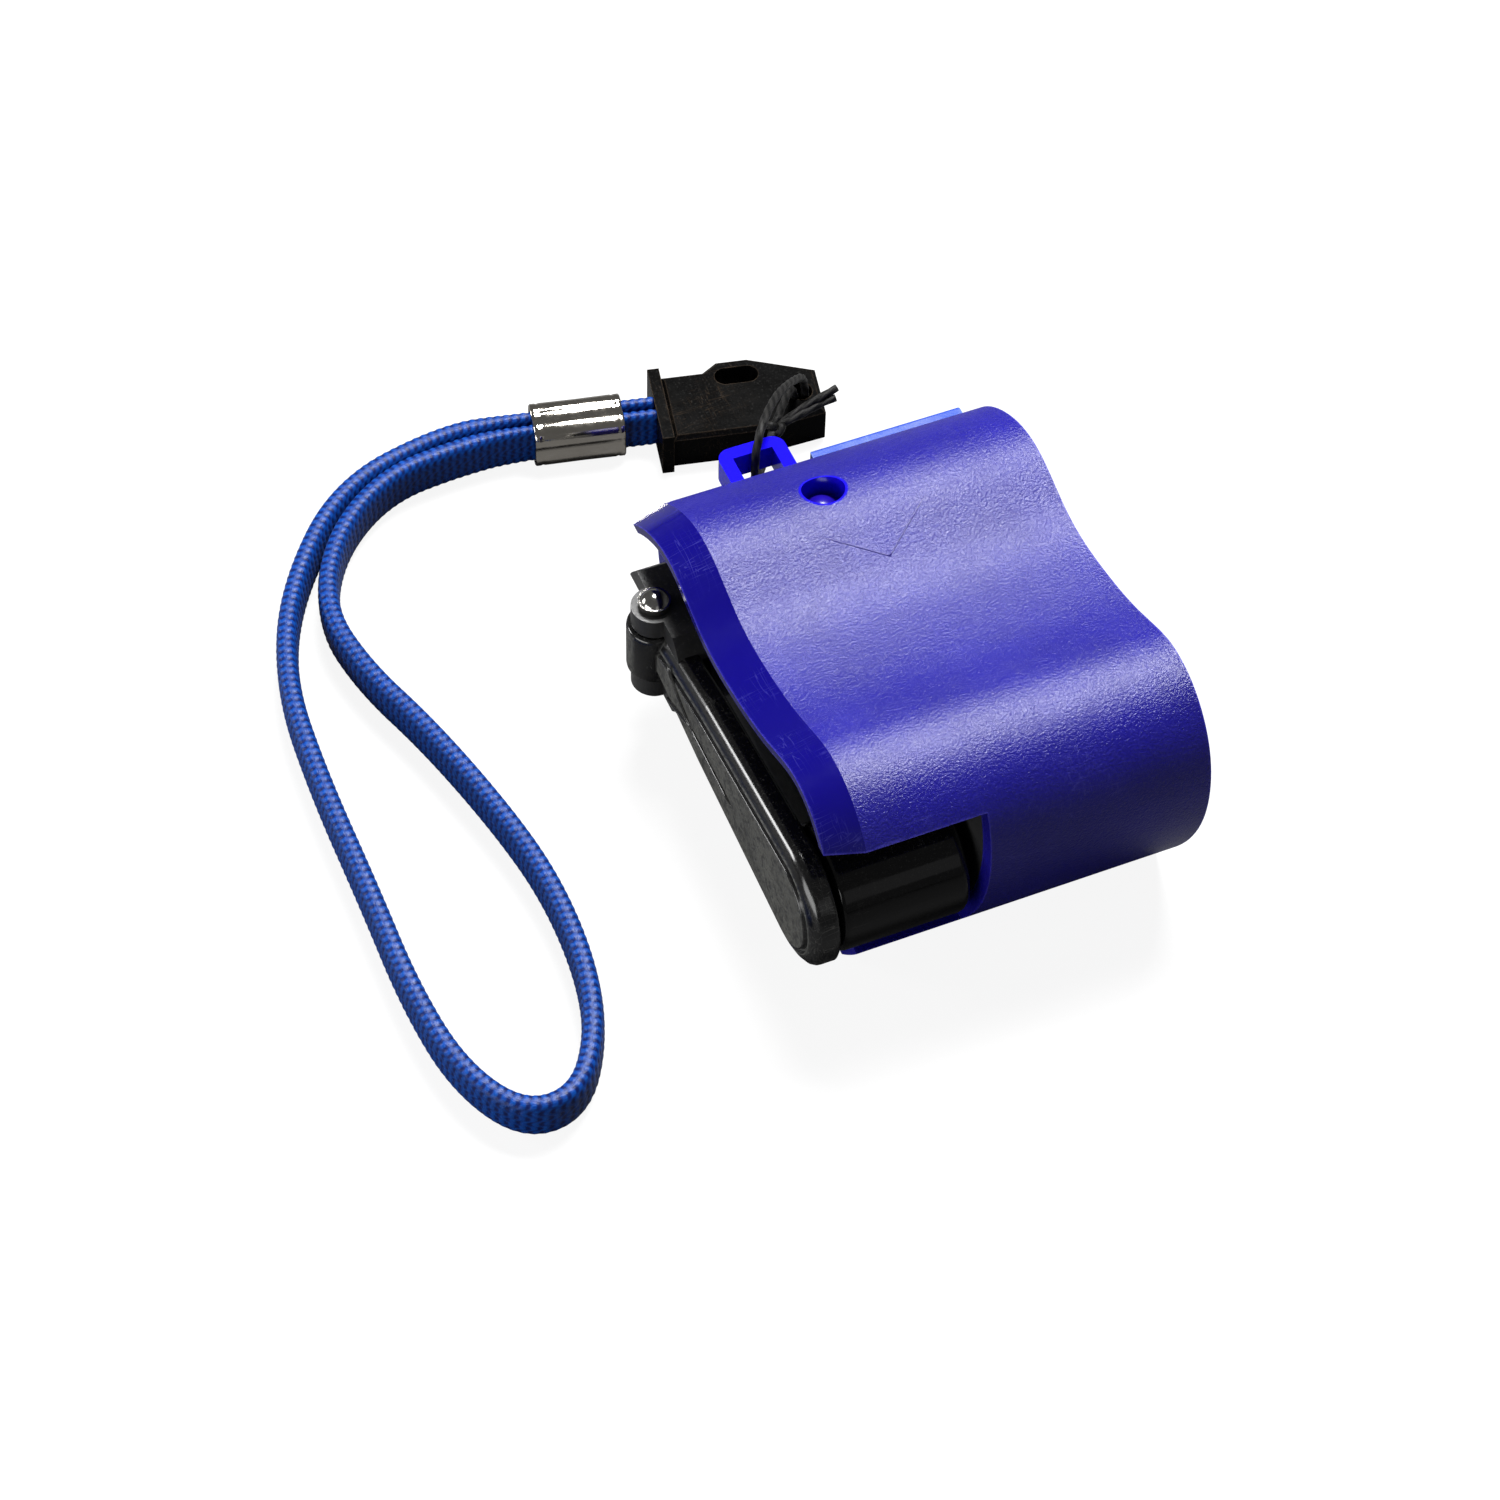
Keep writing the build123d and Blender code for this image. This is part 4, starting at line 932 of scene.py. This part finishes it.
class CHARGER_OT_cords(Operator):
    """Woven wrist strap, tie cord and its knot"""
    bl_idname = "charger.cords"
    bl_label = "Strap and tie cord"

    def execute(self, context):
        look = context.scene.charger_cords
        self.strap(look)
        self.tie(look)
        return {"FINISHED"}

    def strap(self, look):
        material = woven("Woven strap", look.strap, look.strap_gap_shade, 0.42, 0.02)
        line, whole = even_steps(route_line(STRAP_ROUTE), STRAP_STEP * MM)
        outline, round_length = flat_outline(look.strap_width - 2 * look.stitch_height,
                                             look.strap_thick - 2 * look.stitch_height,
                                             STRAP_AROUND)
        across = max(2, round(round_length / look.stitch_width / 2) * 2)

        def threads(along, turn):
            place = turn / round_length * across
            lean = abs((place % 2) - 1) * 0.5
            row = along / look.stitch_length + lean
            bump_up = math.cos(math.tau * row) * math.cos(math.pi * place)
            mark = 0.5 + 0.5 * bump_up
            return look.stitch_height * mark ** 0.7, mark

        def puffed(along):
            inside = min(along, whole - along) - PRESSED * MM
            rise = min(1.0, max(0.0, inside / (PUFF_LENGTH * MM)))
            return 1.0 + (look.swell - 1.0) * rise * rise * (3 - 2 * rise)

        tube = swept(line, outline, threads, upright=Vector((0.0, 0.0, 1.0)), swell=puffed)
        strap = mesh_object("woven_strap", tube, material, "strap")
        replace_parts(strap, "wrist_strap")
        nickel = bpy.context.scene.charger_metals.nickel
        ferrule = self.ferrule(metal("Plated crimp", nickel, paint(150, 144, 134), rough=0.14,
                                     stretch=(0.3, 3.0, 3.0), depth=0.0015, tarnish=0.15))

    def tie(self, look):
        # paint(3, 3, 3) is painted shade between the tie cord's strands, and pale is a painted
        # highlight on their tops
        material = woven("Waxed tie cord", look.cord, paint(3, 3, 3), 0.5, 0.015,
                         pale=(0.05, 0.05, 0.05))
        line, _ = even_steps(route_line(TIE_ROUTE), TIE_STEP * MM)
        knot = self.knot(look, material)
        radius = look.tie_diameter / 2
        cord = mesh_object("tie_cord_twisted", self.twisted(line, radius), material, "case")
        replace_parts(cord, "tie_cord")

    def ferrule(self, material):
        """Rolled sheet pressed round both strands: a fold along its top and one along each side."""
        start, stop = (Vector(clip_point(along, 0.0, FERRULE_MIDDLE)) * MM for along in FERRULE_ENDS)
        ahead = (stop - start).normalized()
        beside = Vector((0.0, 0.0, 1.0)).cross(ahead)
        sheet = bmesh.new()

        def ring(at, inset):
            corners = []
            for angle, way in ways_round(FERRULE_AROUND):
                fold = sum(math.exp(-((angle - middle + math.pi) % math.tau - math.pi) ** 2
                                    / FOLD_SPREAD) for middle in (0.0, math.pi / 2, math.pi))
                reach = 1.0 - FOLD_DEPTH * fold
                side = squared(way.x, FERRULE_SQUARE) * (FERRULE_HALF - inset) * reach
                rise = squared(way.y, FERRULE_SQUARE) * (FERRULE_MIDDLE - inset) * reach
                corners.append(sheet.verts.new(start.lerp(stop, at) + beside * side * MM
                                               + Vector((0.0, 0.0, rise * MM))))
            return corners

        rings = [ring(at, inset) for at, inset in FERRULE_STEPS]
        rings += [ring(at, FERRULE_SHEET) for at in (0.96, 0.5, 0.04)]
        for first, second in zip(rings, rings[1:] + rings[:1]):
            bridge(sheet, first, second)
        bmesh.ops.recalc_face_normals(sheet, faces=sheet.faces)
        ferrule = mesh_object("crimped_ferrule", sheet, material, "strap")
        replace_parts(ferrule, "strap_crimp")
        return ferrule

    def twisted(self, line, radius):
        deep = radius * TWIST_DEPTH
        outline = [(way * (radius - deep), way, angle) for angle, way in ways_round(TWIST_AROUND)]

        def strands(along, turn):
            mark = 0.5 + 0.5 * math.cos(3 * turn - math.tau * along / (TWIST_LAY * MM))
            return deep * mark ** 0.6, mark

        return swept(line, outline, strands)

    def knot(self, look, material):
        """A closed trefoil of cord for the knot, and its two tails."""
        radius = look.tie_diameter * KNOT_CORD
        turns = []
        for angle, way in ways_round(12):
            turns.append((KNOT_PLACE.x + KNOT_SIZE * (way.y + 2 * math.sin(2 * angle)),
                          KNOT_PLACE.y + KNOT_SIZE * (way.x - 2 * math.cos(2 * angle)),
                          KNOT_PLACE.z - KNOT_RISE * math.sin(3 * angle)))
        loop = route_line(turns, closed=True)
        parts = [self.twisted(even_steps(loop + loop[:1], TIE_STEP * MM)[0], radius)]
        for reach, side, rise in KNOT_TAILS:
            tail = [tuple(KNOT_PLACE + Vector(step)) for step in (
                (0.0, 0.0, 0.0), (2.4, 0.3 * side - 0.6, 0.9),
                (reach * 0.72, 0.12 * side - 0.4, rise * 0.9), (reach, 0.25 * side - 0.5, rise))]
            parts.append(self.twisted(even_steps(route_line(tail), TIE_STEP * MM)[0], radius))
        knot = mesh_object("tie_knot_tails", joined(parts), material, "case")
        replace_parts(knot, "tie_knot")
        return knot


class CHARGER_OT_case(Operator):
    """Frosted shells, port panel, side frame and the chevron crease"""
    bl_idname = "charger.case"
    bl_label = "Case"

    def execute(self, context):
        look = context.scene.charger_case
        metals = context.scene.charger_metals
        shell = frosted_blue(look)
        dress(shell, "upper_shell", "lower_shell")
        dress(moulded("Port panel blue", look.panel, paint(34, 54, 140), rough=0.3, grain=0.25,
                      depth=0.004, coat=0.3, worn=paint(150, 196, 240)), "port_panel")
        dress(moulded("Side frame black", paint(30, 30, 31), paint(20, 20, 21), rough=0.5, grain=0.4,
                      depth=0.012), "side_frame")
        dress(moulded("Gearbox frame black", paint(40, 40, 42), paint(26, 26, 27), rough=0.55,
                      grain=0.5, depth=0.015), "gearbox_frame")
        dress(metal("Zinc screws", metals.steel, paint(120, 120, 124), rough=0.32), "case_screws",
              "frame_screws")
        self.crease(look, shell)
        return {"FINISHED"}

    def crease(self, look, shell):
        """The thin moulded chevron that lies over the back hump."""
        tree = bmesh.new()
        tree.from_mesh(frame["nodes"]["upper_shell"].data)
        surface = BVHTree.FromBMesh(tree)
        spots, ways = [], []
        for (x0, y0), (x1, y1) in zip(CHEVRON, CHEVRON[1:]):
            for index in range(CHEVRON_STEPS):
                part = index / (CHEVRON_STEPS - 1)
                start = Vector((x0 + (x1 - x0) * part, y0 + (y1 - y0) * part, PROBE_HEIGHT)) * MM
                spot, normal, _, _ = surface.ray_cast(start, Vector((0, 0, -1)))
                if spot is None:
                    raise RuntimeError("the chevron misses the shell")
                spots.append(spot)
                ways.append(normal)
        tree.free()
        line = ribbon(spots, look.crease_width, look.crease_width * CHEVRON_RISE, ways)
        crease = moulded("Moulded crease", paint(24, 12, 104), look.shell_tone_and_rim_shade, rough=0.35, grain=0.2,
                         depth=0.002, dust=0.0)
        mesh_object("chevron_crease", line, crease, "case")


class CHARGER_OT_crank(Operator):
    """Crank hub, folding arm with its ribs, and the grip"""
    bl_idname = "charger.crank"
    bl_label = "Crank"

    def execute(self, context):
        look = context.scene.charger_crank
        arm = arm_plastic(look)
        self.arm(arm)
        dress(moulded("Hub black", paint(36, 36, 36), paint(24, 24, 24), rough=0.4, grain=0.4,
                      depth=0.012, coat=0.15), "crank_hub")
        dress(moulded("Grip black", look.gloss, paint(5, 5, 5), rough=0.12, grain=0.6, depth=0.001,
                      worn=paint(96, 94, 92), wear=0.2, specular=0.3, dust=0.05),
              "crank_grip", "grip_cap")
        dress(metal("Hinge pin steel", look.pin, paint(120, 118, 114), rough=0.16, tarnish=0.4),
              "hinge_pin")
        self.ribs(look, arm)
        return {"FINISHED"}

    def arm(self, material):
        """The arm as moulded: a broad bevel, a groove round its panel, and its knuckle."""
        def on_plate(step, way):
            x, inset = step
            y, radius = max(ARM_CIRCLES, key=lambda circle: circle[0] * way.x + circle[1])
            reach = way * (radius - inset)
            return Vector((x, y + reach.x, AXIS_Z + reach.y))

        def on_knuckle(step, way):
            height, inset = step
            reach = way * (KNUCKLE_RADIUS - inset)
            return Vector((PIN_X + reach.x, PIN_Y + reach.y, AXIS_Z + height))

        arm = joined([ringed(ARM_STEPS, ARM_AROUND, on_plate),
                      ringed(KNUCKLE_STEPS, KNUCKLE_AROUND, on_knuckle)])
        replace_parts(mesh_object("moulded_arm", arm, material, "arm"), "crank_arm")

    def ribs(self, look, arm):
        """A forked rib below the knuckle."""
        parts = []
        for route in RIB_ROUTES:
            line = even_steps(route_line([(ARM_FACE_X, y, z) for y, z in route]), RIB_STEP * MM)[0]
            parts.append(ribbon(line, look.rib_width, look.rib_height, Vector((-1.0, 0.0, 0.0))))
        mesh_object("arm_ribs", joined(parts), arm, "arm")


class CHARGER_OT_clip(Operator):
    """Both halves of the release clip"""
    bl_idname = "charger.clip"
    bl_label = "Clip"

    def execute(self, context):
        dress(moulded("Clip black", paint(6, 6, 6), paint(3, 3, 3), rough=0.3, grain=0.5,
                      depth=0.002, specular=0.03, worn=paint(96, 80, 64), wear=0.3, dust=0.03),
              "clip_socket", "clip_plug")
        return {"FINISHED"}


class CHARGER_OT_gears(Operator):
    """Gears, shafts and bearing inside the case"""
    bl_idname = "charger.gears"
    bl_label = "Gear train"

    def execute(self, context):
        metals = context.scene.charger_metals
        dress(moulded("White nylon", paint(226, 224, 214), paint(204, 200, 186), rough=0.38,
                      grain=0.5, depth=0.004, worn=paint(190, 186, 170), wear=0.5), "crank_gear",
              "idler_gear")
        dress(metal("Ground steel", metals.steel, paint(128, 130, 134), rough=0.2,
                    stretch=(7.0, 0.6, 0.6)), "crank_shaft", "idler_axle", "grip_axle",
              "retaining_ring", "rotor_shaft")
        dress(metal("Brass pinion", metals.brass, paint(140, 104, 52), rough=0.28), "rotor_pinion")
        dress(metal("Sintered bush", metals.brass, paint(128, 96, 50), rough=0.45, tarnish=0.6),
              "hub_bush")
        return {"FINISHED"}


class CHARGER_OT_generator(Operator):
    """Generator can, magnets, core and windings"""
    bl_idname = "charger.generator"
    bl_label = "Generator"

    def execute(self, context):
        metals = context.scene.charger_metals
        dress(metal("Drawn can", metals.steel, paint(116, 118, 122), rough=0.3,
                    stretch=(0.5, 7.0, 7.0)), "generator_can", "generator_cap")
        dress(moulded("Ferrite magnet", paint(46, 45, 46), paint(30, 29, 30), rough=0.6, grain=0.25,
                      depth=0.01), "generator_magnets")
        dress(metal("Laminated core", paint(118, 116, 114), paint(70, 66, 62), rough=0.42,
                    stretch=(7.0, 0.3, 0.3), depth=0.03, tarnish=0.6), "rotor_core")
        dress(winding_copper(metals), "rotor_winding")
        return {"FINISHED"}


class CHARGER_OT_electronics(Operator):
    """Circuit board, charging port, capacitor, rectifier and indicator"""
    bl_idname = "charger.electronics"
    bl_label = "Electronics"

    def execute(self, context):
        metals = context.scene.charger_metals
        dress(board_mask(metals), "circuit_board")
        dress(metal("Port shell", metals.steel, paint(140, 142, 146), rough=0.22,
                    stretch=(6.0, 0.4, 6.0)), "usb_socket")
        dress(moulded("Port tongue", paint(34, 34, 36), paint(22, 22, 24), rough=0.4, grain=0.3,
                      depth=0.003), "usb_tongue")
        dress(moulded("Capacitor sleeve", paint(26, 28, 40), paint(14, 15, 24), rough=0.28,
                      grain=0.4, depth=0.002, coat=0.4), "capacitor")
        dress(moulded("Rectifier epoxy", paint(28, 28, 28), paint(18, 18, 18), rough=0.55,
                      grain=0.2, depth=0.006), "rectifier")
        dress(clear_lens(paint(30, 12, 150)), "indicator_led")
        self.contacts(metals)
        return {"FINISHED"}

    def contacts(self, metals):
        """Four sprung contact strips under the port's tongue."""
        low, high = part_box("usb_tongue")
        gold = metal("Gilt contacts", paint(214, 170, 84), paint(160, 118, 52), rough=0.22,
                     stretch=(6.0, 0.4, 6.0))
        middle = (low.x + high.x) / 2
        width, height = (value * MM for value in CONTACT_SIZE)
        parts = []
        for index in range(4):
            x = middle + (index - 1.5) * CONTACT_PITCH * MM
            spots = [Vector((x, high.y - (CONTACT_START + step * CONTACT_STEP) * MM, low.z))
                     for step in range(10)]
            parts.append(ribbon(spots, width, height, Vector((0.0, 0.0, -1.0))))
        mesh_object("port_contacts", joined(parts), gold, "case")


OPERATORS = (CHARGER_OT_stage, CHARGER_OT_cords, CHARGER_OT_case, CHARGER_OT_crank,
             CHARGER_OT_clip, CHARGER_OT_gears, CHARGER_OT_generator, CHARGER_OT_electronics)
LOOKS = {"charger_case": CaseLook, "charger_crank": CrankLook, "charger_cords": CordLook,
         "charger_metals": MetalLook, "charger_stage": StageLook}


class CHARGER_PT_panel(Panel):
    """Lists the steps that dress the charger"""
    bl_label = "Hand Crank Charger"
    bl_space_type = "VIEW_3D"
    bl_region_type = "UI"
    bl_category = "Charger"

    def draw(self, context):
        for operator in OPERATORS:
            self.layout.operator(operator.bl_idname)
        for name in LOOKS:
            box = self.layout.box()
            look = getattr(context.scene, name)
            for entry in look.__annotations__:
                box.prop(look, entry)


def register():
    for kind in (*LOOKS.values(), *OPERATORS, CHARGER_PT_panel):
        bpy.utils.register_class(kind)
    for name, kind in LOOKS.items():
        setattr(bpy.types.Scene, name, PointerProperty(type=kind))


def unregister():
    for name in LOOKS:
        delattr(bpy.types.Scene, name)
    for kind in (CHARGER_PT_panel, *reversed(OPERATORS), *reversed(LOOKS.values())):
        bpy.utils.unregister_class(kind)


def main():
    for left in list(bpy.data.objects):
        if left.type in {"CAMERA", "LIGHT"}:
            bpy.data.objects.remove(left)
    register()
    bpy.ops.charger.stage()
    bpy.ops.charger.cords()
    bpy.ops.charger.case()
    bpy.ops.charger.crank()
    bpy.ops.charger.clip()
    bpy.ops.charger.gears()
    bpy.ops.charger.generator()
    bpy.ops.charger.electronics()


if __name__ == "__main__":
    main()
